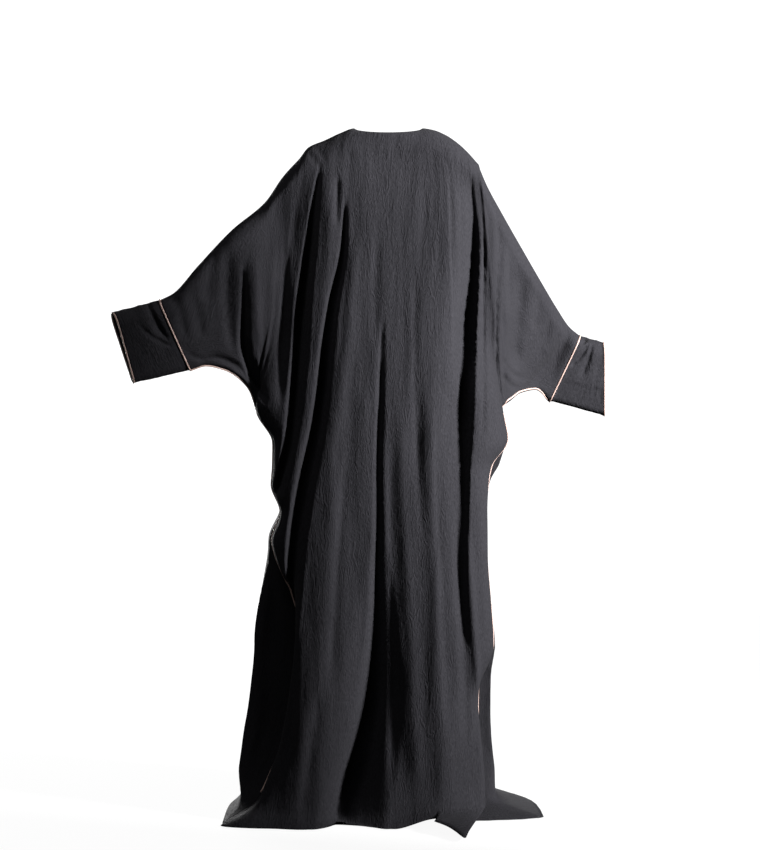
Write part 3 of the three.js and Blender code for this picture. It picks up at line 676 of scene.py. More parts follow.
def body_points(panel: Panel, across: Array, down: Array) -> Array:
    """Points on the body.

    Args:
        panel: The panel that they belong to.
        across: The share of the way from the left seam to the right.
        down: 0 at the shoulders, 1 at the armpits and 2 at the hem.

    Returns:
        The points in millimetres.
    """
    form = FORM
    back = panel is Panel.BACK
    levels = form.levels
    _, left_top_x, _, left_top_z = ARMS[Hand.LEFT].over.rows[0]
    _, left_pit_x, _, left_pit_z = ARMS[Hand.LEFT].under.rows[0]
    _, right_top_x, _, right_top_z = ARMS[Hand.RIGHT].over.rows[0]
    _, right_pit_x, _, right_pit_z = ARMS[Hand.RIGHT].under.rows[0]

    def from_to(top: Array, pit: Array, low: Array) -> Array:
        """Go from one value at the top to another at the armpits and a third at the hem."""
        return np.where(down < 1, mix(top, pit, down), mix(pit, low, down - 1))

    left_z = from_to(left_top_z, left_pit_z, form.floor)
    right_z = from_to(right_top_z, right_pit_z, form.floor)
    left_x = levels.at(left_z, "leftX")
    right_x = levels.at(right_z, "rightX")
    top_x = mix(left_top_x, right_top_x, across)
    inside = np.abs(top_x) < form.neck_half_width
    neck = np.where(inside, np.sqrt(1 - clamp(np.abs(top_x) / form.neck_half_width) ** 2), 0.0)
    top_z = form.shoulders.at(top_x, "z") - neck * form.neck_drop[0 if back else 1]
    top_y = neck * form.neck_reach[0 if back else 1]
    z = from_to(top_z, mix(left_pit_z, right_pit_z, across), form.floor)

    left_turn = clamp(across / form.turn_share)
    right_turn = clamp((1 - across) / form.turn_share)
    seamed = ease_between(z, *form.seamed)
    left_swing = levels.at(z, "backLeft" if back else "frontLeft")
    right_swing = levels.at(z, "backRight" if back else "frontRight")

    def turn(share: Array, swung: Array) -> Array:
        """How far the cloth has turned from a side seam to the flat of the panel.

        Args:
            share: The share of the turn's width, 0 on the seam.
            swung: How far the cloth swings out beside the seam.

        Returns:
            The share of the way from the seam's depth to the panel's.
        """
        hold = np.zeros_like(share) if back else form.swing_hold * clamp(swung / form.full_swing)
        held = np.where(hold > 0, clamp(share / np.maximum(hold, TINY)), 0.0)
        drift = form.swing_drift * held * (hold / form.swing_hold)
        full = drift + (1 - drift) * quarter_round((share - hold) / (1 - hold))
        return mix(ease(share), full, seamed)

    def inset(share: Array) -> Array:
        """Draw the columns towards a sewn seam, so that they follow the round of the turn."""
        return seamed * (share * share * (2 - share) - share)

    fan_left = np.where(down < 1, left_x, mix(left_pit_x, form.fan[0], down - 1))
    fan_right = np.where(down < 1, right_x, mix(right_pit_x, form.fan[1], down - 1))
    x = mix(fan_left, fan_right, across)
    x = x + (left_x - fan_left) * (1 - ease(left_turn)) + (right_x - fan_right) * (1 - ease(right_turn))
    x = x + form.turn_share * (fan_right - fan_left) * (inset(left_turn) - inset(right_turn))
    x = x - left_swing * peak(left_turn) + right_swing * peak(right_turn)

    def seam_offset(hand: Hand, seam_z: Array, column: str) -> Array:
        """How far ahead the edge of the body lies, where the sleeve or the side seam meets it.

        Args:
            hand: The side of the garment.
            seam_z: Heights along that edge.
            column: The column of the levels that holds the seam's place.

        Returns:
            The y of the edge at each height.
        """
        arm = ARMS[hand]
        height = arm.over.rows[0][3] - arm.under.rows[0][3]
        profile = np.where(down < 1, sleeve_profile(clamp(down), height, form.shoulder_roll), 0.0)
        return levels.at(seam_z, column) + panel.value * form.sleeve_depth * profile

    left_y = seam_offset(Hand.LEFT, left_z, "leftY")
    right_y = seam_offset(Hand.RIGHT, right_z, "rightY")
    roll = np.where(down < 1, quarter_round((top_z - z) / form.shoulder_roll), 1.0)
    hung = mix(top_y, levels.at(z, "back" if back else "front"), roll)
    y = np.where(
        across < 0.5,
        mix(left_y, hung, turn(left_turn, left_swing)),
        mix(right_y, hung, turn(right_turn, right_swing)),
    )
    clear_top = ease_between(top_z - z, 0, form.shoulder_roll)
    clear_seams = mix(1.0, ease(left_turn) * ease(right_turn), seamed)
    y = y - panel.value * large_folds(panel, x, z) * clear_top * clear_seams

    if back:
        low = ease_between(z, form.hem_lift_z, form.floor)
        z = z + form.hem_lift * low * ease_between(x, *form.hem_lift_x) * ease(right_turn)
        beside = np.where(right_turn < 1, peak(right_turn * form.trail_reach), 0.0)
        trail = ease_between(z, form.trail_z, form.floor) * beside
        x = x + form.trail_shift[0] * trail
        y = y + form.trail_shift[1] * trail
    return np.stack([x, y, z], -1)


# ---- Grids and shells ---------------------------------------------------------------------------

# A place that no crease comes near, in millimetres
FAR_OFF = 1e5


@dataclass(frozen=True)
class Fineness:
    """How many rows and columns the cloth has."""

    sleeve_columns: int = 44
    upper_rows: int = 96
    roll_rows: int = 12
    roll_share: float = 0.1
    skirt_rows: int = 162
    hem_crowding: float = 1.12
    back_columns: int = 148
    front_columns: int = 108

    def rows(self) -> Array:
        """Space the rows out.

        Returns:
            The shares of the way down at which they lie, close together over the shoulder.
        """
        j = np.arange(self.upper_rows + 1)
        rolled = self.roll_share * (1 - np.cos(j / self.roll_rows * np.pi / 2))
        rest = clamp((j - self.roll_rows) / (self.upper_rows - self.roll_rows))
        flat = mix(self.roll_share, 1.0, (rest + np.sin(rest * np.pi / 2)) / 2)
        upper = np.where(j < self.roll_rows, rolled, flat)
        low = 2 - (1 - np.arange(1, self.skirt_rows + 1) / self.skirt_rows) ** self.hem_crowding
        return np.r_[upper, low]


class ClothGrid:
    """One panel as a grid of points: the left sleeve, the body and the right sleeve.

    The class's own values are the turn of the grain along a sleeve, how far creases are pressed in
    straight from behind or ahead and not along the cloth's own normals, the layers of its
    unevenness, and the numbers of rows or columns over which each thing fades.
    """

    wing_grain: float = math.radians(36)
    wing_reach: float = 0.7
    wing_inside: int = 10
    square: float = 0.75
    wander: tuple[Wave, ...] = (Wave(2.4, 70, 260), Wave(0.8, 26, 90))
    swell: tuple[Wave, ...] = (Wave(0.18, 60, 160),)
    crinkle: tuple[Wave, ...] = (Wave(1.9, 42, 230), Wave(0.9, 17, 120), Wave(0.42, 8, 46))
    pit_rows: int = 9
    pit_columns: int = 5
    pit_rounds: int = 14
    cuff_hold: int = 4
    top_hold: int = 10
    seam_hold: int = 7
    pit_hold: int = 12
    middle_hold: int = 3

    def __init__(self, panel: Panel, fineness: Fineness, seed: int) -> None:
        """Lay out the grid.

        Args:
            panel: The panel.
            fineness: Its rows and columns.
            seed: The number that fixes its small unevenness.
        """
        self.panel = panel
        self.sleeve = fineness.sleeve_columns
        self.body = fineness.back_columns if panel is Panel.BACK else fineness.front_columns
        self.upper = fineness.upper_rows
        self.last = self.sleeve * 2 + self.body
        self.shares = fineness.rows()
        self.points = self._lay_out()
        self.real = ~np.isnan(self.points[..., 0])
        self.uv = self._measure()
        self._crease(seed)
        self.normals = self._normals()

    def _lay_out(self) -> Array:
        """Place every point on the garment's form, and round the corner beside each armpit.

        Returns:
            The points by column and row, with none below the sleeves.
        """
        rows = len(self.shares)
        points = np.full((self.last + 1, rows, 3), np.nan)
        down = np.broadcast_to(self.shares, (self.body + 1, rows))
        even = np.broadcast_to(np.arange(self.body + 1)[:, None] / self.body, down.shape)
        crowded = (1 - np.cos(even * np.pi)) / 2
        amount, start, end = FORM.crowding
        across = mix(even, crowded, amount * ease_between(down, start, end))
        points[self.sleeve : self.sleeve + self.body + 1] = body_points(self.panel, across, down)
        out, low = np.meshgrid(
            1 - np.arange(self.sleeve) / self.sleeve, self.shares[: self.upper + 1], indexing="ij"
        )
        points[: self.sleeve, : self.upper + 1] = sleeve_points(self.panel, Hand.LEFT, out, low)
        right = sleeve_points(self.panel, Hand.RIGHT, out, low)[::-1]
        points[self.last - self.sleeve + 1 :, : self.upper + 1] = right
        body = points[self.sleeve : self.sleeve + self.body + 1]
        beside = np.arange(self.body + 1)[:, None]
        near_pit = np.exp(-(((np.arange(rows)[None] - self.upper) / self.pit_rows) ** 2))
        amount = near_pit * ease(clamp(np.minimum(beside, self.body - beside) / self.pit_columns))
        for _ in range(self.pit_rounds):
            mean = (body[:, :-2] + 2 * body[:, 1:-1] + body[:, 2:]) / 4
            body[:, 1:-1] = mix(body[:, 1:-1], mean, amount[:, 1:-1, None])
        return points

    def _measure(self) -> Array:
        """Measure the grain of the cloth.

        Returns:
            Lengths along it, across from the middle and down from the top.
        """
        filled = np.where(self.real[..., None], self.points, 0)
        across = np.linalg.norm(np.diff(filled, axis=0), axis=-1)
        across = np.where(self.real[1:] & self.real[:-1], across, 0)
        u = np.vstack([np.zeros((1, across.shape[1])), np.cumsum(across, axis=0)])
        u = u - u[self.last // 2]
        down = np.linalg.norm(np.diff(filled, axis=1), axis=-1)
        down = np.where(self.real[:, 1:] & self.real[:, :-1], down, 0)
        v = np.hstack([np.zeros((down.shape[0], 1)), np.cumsum(down, axis=1)])
        column = np.arange(self.last + 1)[:, None]
        root = self.sleeve + self.wing_inside
        out = np.maximum(root - column, column - self.last + root)
        turn = ease(clamp(out / (self.sleeve * self.wing_reach)))
        turn = turn * np.sign(self.last / 2 - column) * self.wing_grain
        return np.stack([u * np.cos(turn) - v * np.sin(turn), u * np.sin(turn) + v * np.cos(turn)], -1)

    def _clear(self) -> Array:
        """How free each point is to move.

        Returns:
            0 on every seam and 1 away from them.
        """
        column = np.arange(self.last + 1)[:, None]
        row = np.arange(len(self.shares))[None]
        from_cuff = ease(clamp(np.minimum(column, self.last - column) / self.cuff_hold))
        from_top = ease(clamp(row / self.top_hold))
        in_sleeve = (column < self.sleeve) | (column > self.last - self.sleeve)
        from_underarm = np.where(in_sleeve, ease(clamp((self.upper - row) / self.seam_hold)), 1.0)
        to_seam = np.minimum(column - self.sleeve, self.last - self.sleeve - column)
        below = ease(clamp(to_seam / self.seam_hold))
        low = ease(clamp((row - self.upper + self.pit_hold) / self.pit_hold))
        from_seam = np.where(in_sleeve, 1.0, mix(1.0, below, low))
        clear = from_cuff * from_top * from_underarm * from_seam
        if self.panel is Panel.FRONT:
            clear = clear * ease(clamp(np.abs(column - self.last / 2) / self.middle_hold))
        return clear

    def _crease(self, seed: int) -> None:
        """Press the creases and the cloth's own unevenness into the grid.

        Args:
            seed: The number that fixes the unevenness.
        """
        normals = self._normals()
        x = np.where(self.real, self.points[..., 0], FAR_OFF)
        z = np.where(self.real, self.points[..., 2], FAR_OFF)
        u = self.uv[..., 0]
        v = self.uv[..., 1]
        wander = rippled(0.0, self.wander, u, v, seed)
        seed += len(self.wander)
        swell = rippled(1.0, self.swell, u, v, seed)
        seed += len(self.swell)
        push = sum(crease.push(x + wander, z) for crease in CREASES[self.panel]) * swell
        push = rippled(push, self.crinkle, u, v, seed)
        toward = np.array([0.0, -1.0 if self.panel is Panel.BACK else 1.0, 0.0])
        along = unit(mix(normals, toward, self.square))
        self.points = self.points - along * (push * self._clear())[..., None]
        self.points[..., 2] = np.maximum(self.points[..., 2], FORM.floor)

    def faces(self) -> Array:
        """Join the points up.

        Returns:
            Four-cornered faces as column, row places, pointing out of the garment.
        """
        column, row = np.meshgrid(np.arange(self.last), np.arange(len(self.shares) - 1), indexing="ij")
        column = column.ravel()
        row = row.ravel()
        corners = np.stack(
            [
                np.stack([column, row], -1), np.stack([column, row + 1], -1),
                np.stack([column + 1, row + 1], -1), np.stack([column + 1, row], -1),
            ],
            1,
        )
        whole = self.real[corners[..., 0], corners[..., 1]].all(1)
        corners = corners[whole]
        return corners if self.panel is Panel.BACK else corners[:, ::-1]

    def _normals(self) -> Array:
        """The outward direction at every point.

        Returns:
            A direction with a length of 1 for each.
        """
        faces = self.faces()
        corner = [self.points[faces[:, k, 0], faces[:, k, 1]] for k in range(4)]
        normal = np.cross(corner[2] - corner[0], corner[3] - corner[1])
        total = np.zeros_like(self.points)
        for k in range(4):
            np.add.at(total, (faces[:, k, 0], faces[:, k, 1]), normal)
        return unit(total)


@dataclass
class Shell:
    """A thin wall of cloth between outer points and the same points moved in."""

    name: str
    outer: Array
    inner: Array
    quads: Array
    uv: Array

    def build(self, material: bpy.types.Material) -> bpy.types.Object:
        """Make the mesh.

        Args:
            material: Its finish.

        Returns:
            The finished object.
        """
        count = len(self.outer)
        points = np.vstack([self.outer, self.inner]) * METRE
        quads = self.quads
        sides = np.vstack([quads[:, [k, (k + 1) % 4]] for k in range(4)])
        code = sides[:, 0] * count + sides[:, 1]
        back = sides[:, 1] * count + sides[:, 0]
        rim = sides[~np.isin(code, back)]
        walls = np.stack([rim[:, 1], rim[:, 0], rim[:, 0] + count, rim[:, 1] + count], 1)
        faces = np.vstack([quads, quads[:, ::-1] + count, walls])
        mesh = bpy.data.meshes.new(self.name)
        mesh.from_pydata(points.tolist(), [], faces.tolist())
        layer = mesh.uv_layers.new(name="grain")
        loops = np.zeros(len(mesh.loops), int)
        mesh.loops.foreach_get("vertex_index", loops)
        both = np.vstack([self.uv, self.uv]) * METRE
        layer.data.foreach_set("uv", both[loops].ravel())
        mesh.polygons.foreach_set("use_smooth", np.ones(len(faces), bool))
        mesh.materials.append(material)
        mesh.update()
        mesh.validate()
        piece = bpy.data.objects.new(self.name, mesh)
        bpy.context.scene.collection.objects.link(piece)
        return piece

    def area(self) -> float:
        """Measure the outer side.

        Returns:
            Its area in square metres.
        """
        corner = [self.outer[self.quads[:, k]] * METRE for k in range(4)]
        cross = np.cross(corner[2] - corner[0], corner[3] - corner[1])
        return float(np.linalg.norm(cross, axis=1).sum() / 2)


# ---- Finishes -----------------------------------------------------------------------------------


class Nodes:
    """The nodes of one new material, and short ways to add to them."""

    def __init__(self, name: str) -> None:
        """Start a material with its shader.

        Args:
            name: The name of the finish.
        """
        self.material = bpy.data.materials.new(name)
        self.material.use_nodes = True
        self.tree = self.material.node_tree
        self.shader = next(node for node in self.tree.nodes if node.type == "BSDF_PRINCIPLED")

    def add(self, kind: str, **values: float) -> bpy.types.Node:
        """Add a node.

        Args:
            kind: Its kind, without the words that all kinds start with.
            values: The values of its sockets, by name.

        Returns:
            The new node.
        """
        node = self.tree.nodes.new(f"ShaderNode{kind}")
        for socket, value in values.items():
            node.inputs[socket].default_value = value
        return node

    def join(self, source: bpy.types.NodeSocket, node: bpy.types.Node, socket: str | int) -> None:
        """Link an output to the named or numbered socket of a node."""
        self.tree.links.new(source, node.inputs[socket])

    def finish(self, **values: float) -> None:
        """Set values of the shader, with the words of each name joined by underscores."""
        for socket, value in values.items():
            self.shader.inputs[socket.replace("_", " ")].default_value = value

    def grain(self, scale: tuple[float, float], turn: float = 0.0) -> bpy.types.NodeSocket:
        """Places along the cloth's own grain.

        Args:
            scale: The waves per metre along its two directions.
            turn: How far the pattern is turned on the cloth.

        Returns:
            The output that holds the places.
        """
        layout = self.add("UVMap")
        layout.uv_map = "grain"
        mapping = self.add("Mapping", Scale=(*scale, 1), Rotation=(0, 0, turn))
        self.join(layout.outputs["UV"], mapping, "Vector")
        return mapping.outputs["Vector"]

    def arithmetic(
        self, operation: str, first: bpy.types.NodeSocket, number: float
    ) -> bpy.types.Node:
        """Add a node that works out a value.

        Args:
            operation: What it does.
            first: The output that it starts from.
            number: The fixed number in it.

        Returns:
            The new node.
        """
        node = self.add("Math")
        node.operation = operation
        node.inputs[1].default_value = number
        self.join(first, node, 0)
        return node

    def ramp(
        self,
        factor: bpy.types.NodeSocket,
        dark: tuple[float, float, float],
        light: tuple[float, float, float],
        places: tuple[float, float] = (0.0, 1.0),
    ) -> None:
        """Colour the shader from a dark to a light colour.

        Args:
            factor: The output that it follows.
            dark: The dark colour.
            light: The light colour.
            places: The values at which both are reached.
        """
        node = self.add("ValToRGB")
        for stop, color, place in zip(node.color_ramp.elements, (dark, light), places):
            stop.position = place
            stop.color = (*color, 1)
        self.join(factor, node, "Fac")
        self.join(node.outputs["Color"], self.shader, "Base Color")

    def bumps(self, *layers: tuple[bpy.types.NodeSocket, float], strength: float = 1.0) -> None:
        """Lay bumps over one another on the shader.

        Args:
            layers: The height that each follows, and its depth in millimetres.
            strength: How strong they all are.
        """
        previous = None
        for height, depth in layers:
            bump = self.add("Bump", Distance=depth * METRE, Strength=strength)
            self.join(height, bump, "Height")
            if previous is not None:
                self.join(previous.outputs["Normal"], bump, "Normal")
            previous = bump
        self.join(previous.outputs["Normal"], self.shader, "Normal")


@dataclass(frozen=True)
class Pattern:
    """An uneven pattern: its waves per metre across and along the grain, its detail and warp."""

    across: float
    along: float
    detail: float
    warp: float
    roughness: float = 0.55

    def height(self, nodes: Nodes) -> bpy.types.NodeSocket:
        """Add the pattern to a material.

        Args:
            nodes: The nodes of the material.

        Returns:
            The output that holds its height, from 0 to 1.
        """
        places = nodes.grain((self.across, self.along))
        texture = nodes.add(
            "TexNoise", Scale=1.0, Detail=self.detail, Roughness=self.roughness, Distortion=self.warp
        )
        texture.noise_dimensions = "2D"
        nodes.join(places, texture, "Vector")
        return texture.outputs["Fac"]


@dataclass(frozen=True)
class Crepe:
    """Black crepe, crinkled along its grain, with a dry soft sheen."""

    name: str = "black crepe"
    dark: tuple[float, float, float] = (0.0145, 0.0141, 0.0165)
    light: tuple[float, float, float] = (0.0235, 0.0228, 0.0265)
    tones: tuple[float, float] = (0.3, 0.72)
    roughness: float = 0.86
    gloss: float = 0.05
    sheen: float = 0.02
    sheen_roughness: float = 0.45
    crinkle: Pattern = Pattern(112, 26, 1.5, 0.9)
    pleat: Pattern = Pattern(300, 130, 1, 0.6)
    weave: Pattern = Pattern(900, 620, 2, 0)
    patches: Pattern = Pattern(9, 4, 2, 0)
    crinkle_mm: float = 2.5
    pleat_mm: float = 0.5
    weave_mm: float = 0.05
    middle: float = 0.5
    pleat_share: float = 0.7
    patch_share: float = 0.3

    def make(self) -> bpy.types.Material:
        """Make the material.

        Returns:
            The material, patterned along the cloth's own grain.
        """
        nodes = Nodes(self.name)
        nodes.finish(
            Roughness=self.roughness,
            Specular_IOR_Level=self.gloss,
            Sheen_Weight=self.sheen,
            Sheen_Roughness=self.sheen_roughness,
        )
        crinkle = nodes.arithmetic("SUBTRACT", self.crinkle.height(nodes), self.middle)
        ridged = nodes.add("Math")
        ridged.operation = "ABSOLUTE"
        nodes.join(crinkle.outputs[0], ridged, 0)
        pleat = self.pleat.height(nodes)
        weave = self.weave.height(nodes)
        part = nodes.arithmetic("MULTIPLY", self.patches.height(nodes), self.patch_share)
        blend = nodes.arithmetic("MULTIPLY_ADD", pleat, self.pleat_share)
        nodes.join(part.outputs[0], blend, 2)
        nodes.ramp(blend.outputs[0], self.dark, self.light, self.tones)
        nodes.bumps(
            (ridged.outputs[0], self.crinkle_mm), (pleat, self.pleat_mm), (weave, self.weave_mm)
        )
        return nodes.material


@dataclass(frozen=True)
class PipingSatin:
    """Rose-beige bias-cut satin over a cord."""

    name: str = "rose beige satin"
    color: tuple[float, float, float] = (0.56, 0.40, 0.35)
    shade: tuple[float, float, float] = (0.42, 0.29, 0.25)
    roughness: float = 0.42
    sheen: float = 0.15
    slant: float = math.radians(40)
    threads: tuple[float, float] = (700, 700)
    twill_scale: float = 0.6
    twill_warp: float = 0.6
    twill_mm: float = 0.12
    twill_strength: float = 0.5

    def make(self) -> bpy.types.Material:
        """Make the material.

        Returns:
            The material, with a fine twill that runs slantwise round the cord.
        """
        nodes = Nodes(self.name)
        nodes.finish(Roughness=self.roughness, Sheen_Weight=self.sheen)
        twill = nodes.add("TexWave", Scale=self.twill_scale, Distortion=self.twill_warp)
        nodes.join(nodes.grain(self.threads, self.slant), twill, "Vector")
        nodes.ramp(twill.outputs["Fac"], self.shade, self.color)
        nodes.bumps((twill.outputs["Fac"], self.twill_mm), strength=self.twill_strength)
        return nodes.material


@dataclass(frozen=True)
class StudioPaint:
    """The matt paint of the studio's floor and backdrop, which may glow."""

    name: str = "studio floor"
    color: tuple[float, float, float] = (0.12, 0.12, 0.12)
    glow: float = 0.0
    roughness: float = 0.9

    def make(self) -> bpy.types.Material:
        """Make the material.

        Returns:
            The material, all one colour and without gloss.
        """
        nodes = Nodes(self.name)
        nodes.finish(
            Base_Color=(*self.color, 1),
            Roughness=self.roughness,
            Specular_IOR_Level=0.0,
            Emission_Color=(1, 1, 1, 1),
            Emission_Strength=self.glow,
        )
        return nodes.material


# ---- The pieces of the garment ------------------------------------------------------------------


@dataclass
class Robe:
    """The back and the two fronts, sewn at the shoulders, under the arms and down the sides."""

    wall: float = 1.1
    seam_gap: float = -0.4
    fineness: Fineness = Fineness()
    seeds: tuple[int, int] = (11, 47)

    def __post_init__(self) -> None:
        """Lay out both panels and let them share their seams."""
        self.back = ClothGrid(Panel.BACK, self.fineness, self.seeds[0])
        self.front = ClothGrid(Panel.FRONT, self.fineness, self.seeds[1])
        self._share_seams()

    def front_column(self, column: Array, hand: Hand) -> Array:
        """The column of the front on the same seam as a column of the back."""
        return column if hand is Hand.LEFT else column - self.back.last + self.front.last

    def seam(self, hand: Hand) -> tuple[Array, Array]:
        """Follow one underarm and side seam.

        Args:
            hand: The side of the garment.

        Returns:
            The columns and the rows of the back along it, from the cuff down.
        """
        back = self.back
        sleeve = np.arange(back.sleeve)
        rows = np.arange(back.upper, len(back.shares))
        columns = np.r_[sleeve, np.full(len(rows), back.sleeve)]
        if hand is Hand.RIGHT:
            columns = back.last - columns
        return columns, np.r_[np.full(len(sleeve), back.upper), rows]

    def _share_seams(self) -> None:
        """Make both panels lean the same way where they are sewn, and meet there.

        The gap is below 0, so that the walls press into one another a little and no light shows.
        """
        half = self.seam_gap / 2
        for hand in Hand:
            columns, rows = self.seam(hand)
            facing = self.front_column(columns, hand)
            shared = unit(self.back.normals[columns, rows] + self.front.normals[facing, rows])
            self.back.normals[columns, rows] = shared
            self.front.normals[facing, rows] = shared
            middle = (self.back.points[columns, rows] + self.front.points[facing, rows]) / 2
            run = unit(np.gradient(middle, axis=0))
            split = unit(np.cross(run, shared))
            split = np.where(split[:, 1:2] < 0, -split, split)
            self.back.points[columns, rows] = middle - split * half
            self.front.points[facing, rows] = middle + split * half
        for grid in (self.back, self.front):
            grid.normals[:, 0, 1] *= np.where(self._on_shoulder(grid), 0.0, 1.0)
            grid.normals[:, 0] = unit(grid.normals[:, 0])
            grid.points[:, 0, 1] += grid.panel.value * half
        middle = self.front.last // 2
        self.front.normals[middle, :, 0] = 0
        self.front.normals[middle] = unit(self.front.normals[middle])

    def _on_shoulder(self, grid: ClothGrid) -> Array:
        """Which columns end on the shoulder seam, and not at the neck."""
        return np.abs(grid.points[:, 0, 0]) > FORM.neck_half_width

    def shell(self, name: str, grid: ClothGrid, first: int, last: int, shift: float = 0.0) -> Shell:
        """One panel, or a part of it between two columns, as a wall of cloth.

        Args:
            name: Its name.
            grid: The panel.
            first: The first column.
            last: The last column.
            shift: How far the column down the middle stands aside.

        Returns:
            The wall.
        """
        points = grid.points.copy()
        if shift:
            points[grid.last // 2, :, 0] += shift
        inner = points - grid.normals * self.wall
        inner[..., 2] = np.maximum(inner[..., 2], FORM.floor)
        faces = grid.faces()
        faces = faces[(faces[..., 0].min(1) >= first) & (faces[..., 0].max(1) <= last)]
        index = np.full(grid.real.shape, -1)
        places = np.unique(faces.reshape(-1, 2), axis=0)
        index[places[:, 0], places[:, 1]] = np.arange(len(places))
        pick = (places[:, 0], places[:, 1])
        return Shell(
            name,
            points[pick],
            inner[pick],
            index[faces[..., 0], faces[..., 1]],
            grid.uv[pick],
        )

    def build(self, cloth: bpy.types.Material) -> list[bpy.types.Object]:
        """Make the three panels.

        Args:
            cloth: Their finish.

        Returns:
            The finished pieces.
        """
        middle = self.front.last // 2
        half = self.seam_gap / 2
        shells = {
            "back": self.shell("back_cloth", self.back, 0, self.back.last),
            "front_left": self.shell("front_left_cloth", self.front, 0, middle, -half),
            "front_right": self.shell("front_right_cloth", self.front, middle, self.front.last, half),
        }
        pieces = []
        for node, shell in shells.items():
            piece = shell.build(cloth)
            dress(piece, "crepe", node)
            area = round(shell.area(), 3)
            LOG.info("%s: %d faces, %.3f square metres", piece.name, len(piece.data.polygons), area)
            pieces.append(piece)
        return pieces


def dress(piece: bpy.types.Object, slot: str, *nodes: str) -> None:
    """Let a piece ride the garment and stand for its nodes.

    Args:
        piece: The piece.
        slot: Not used.
        nodes: The nodes that it stands for.
    """
    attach(piece, "root")
    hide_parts(*nodes)


# The creases of each cuff, along paths of millimetres down from its top and out from the sleeve
CUFF_CREASES = {
    Hand.LEFT: (
        Crease(((2, 26), (40, 28), (80, 26), (124, 14)), (4, 7, 9, 4), (4, 7, 9, 3)),
        Crease(((60, 66), (88, 52), (112, 34), (136, 8)), (3, 5, 5, 4), (2, 4, 4, 2)),
        Crease(((2, 36), (16, 40)), (5, 5), (4, 2)),
        Crease(((4, 80), (22, 76)), (5, 5), (3, 1.5)),
    ),
    Hand.RIGHT: (
        Crease(((30, 26), (66, 18), (104, 4)), (4, 5, 4), (5, 8, 6)),
        Crease(((26, 36), (62, 34), (122, 28)), (3, 5, 4), (4, 7, 5)),
        Crease(((2, 12), (20, 16), (44, 10)), (6, 7, 5), (5, 7, 3)),
        Crease(((8, 64), (60, 60), (118, 50)), (8, 9), (1.4, 2.0)),
    ),
}
# The same for the side of either cuff that faces ahead, with the millimetres down below 0
CUFF_CREASES_AHEAD = (
    Crease(((-24, 40), (-80, 52), (-132, 44)), (7, 9), (2.2, 2.6)),
    Crease(((-40, 82), (-90, 76), (-140, 86)), (7, 8), (1.4, 1.8)),
)


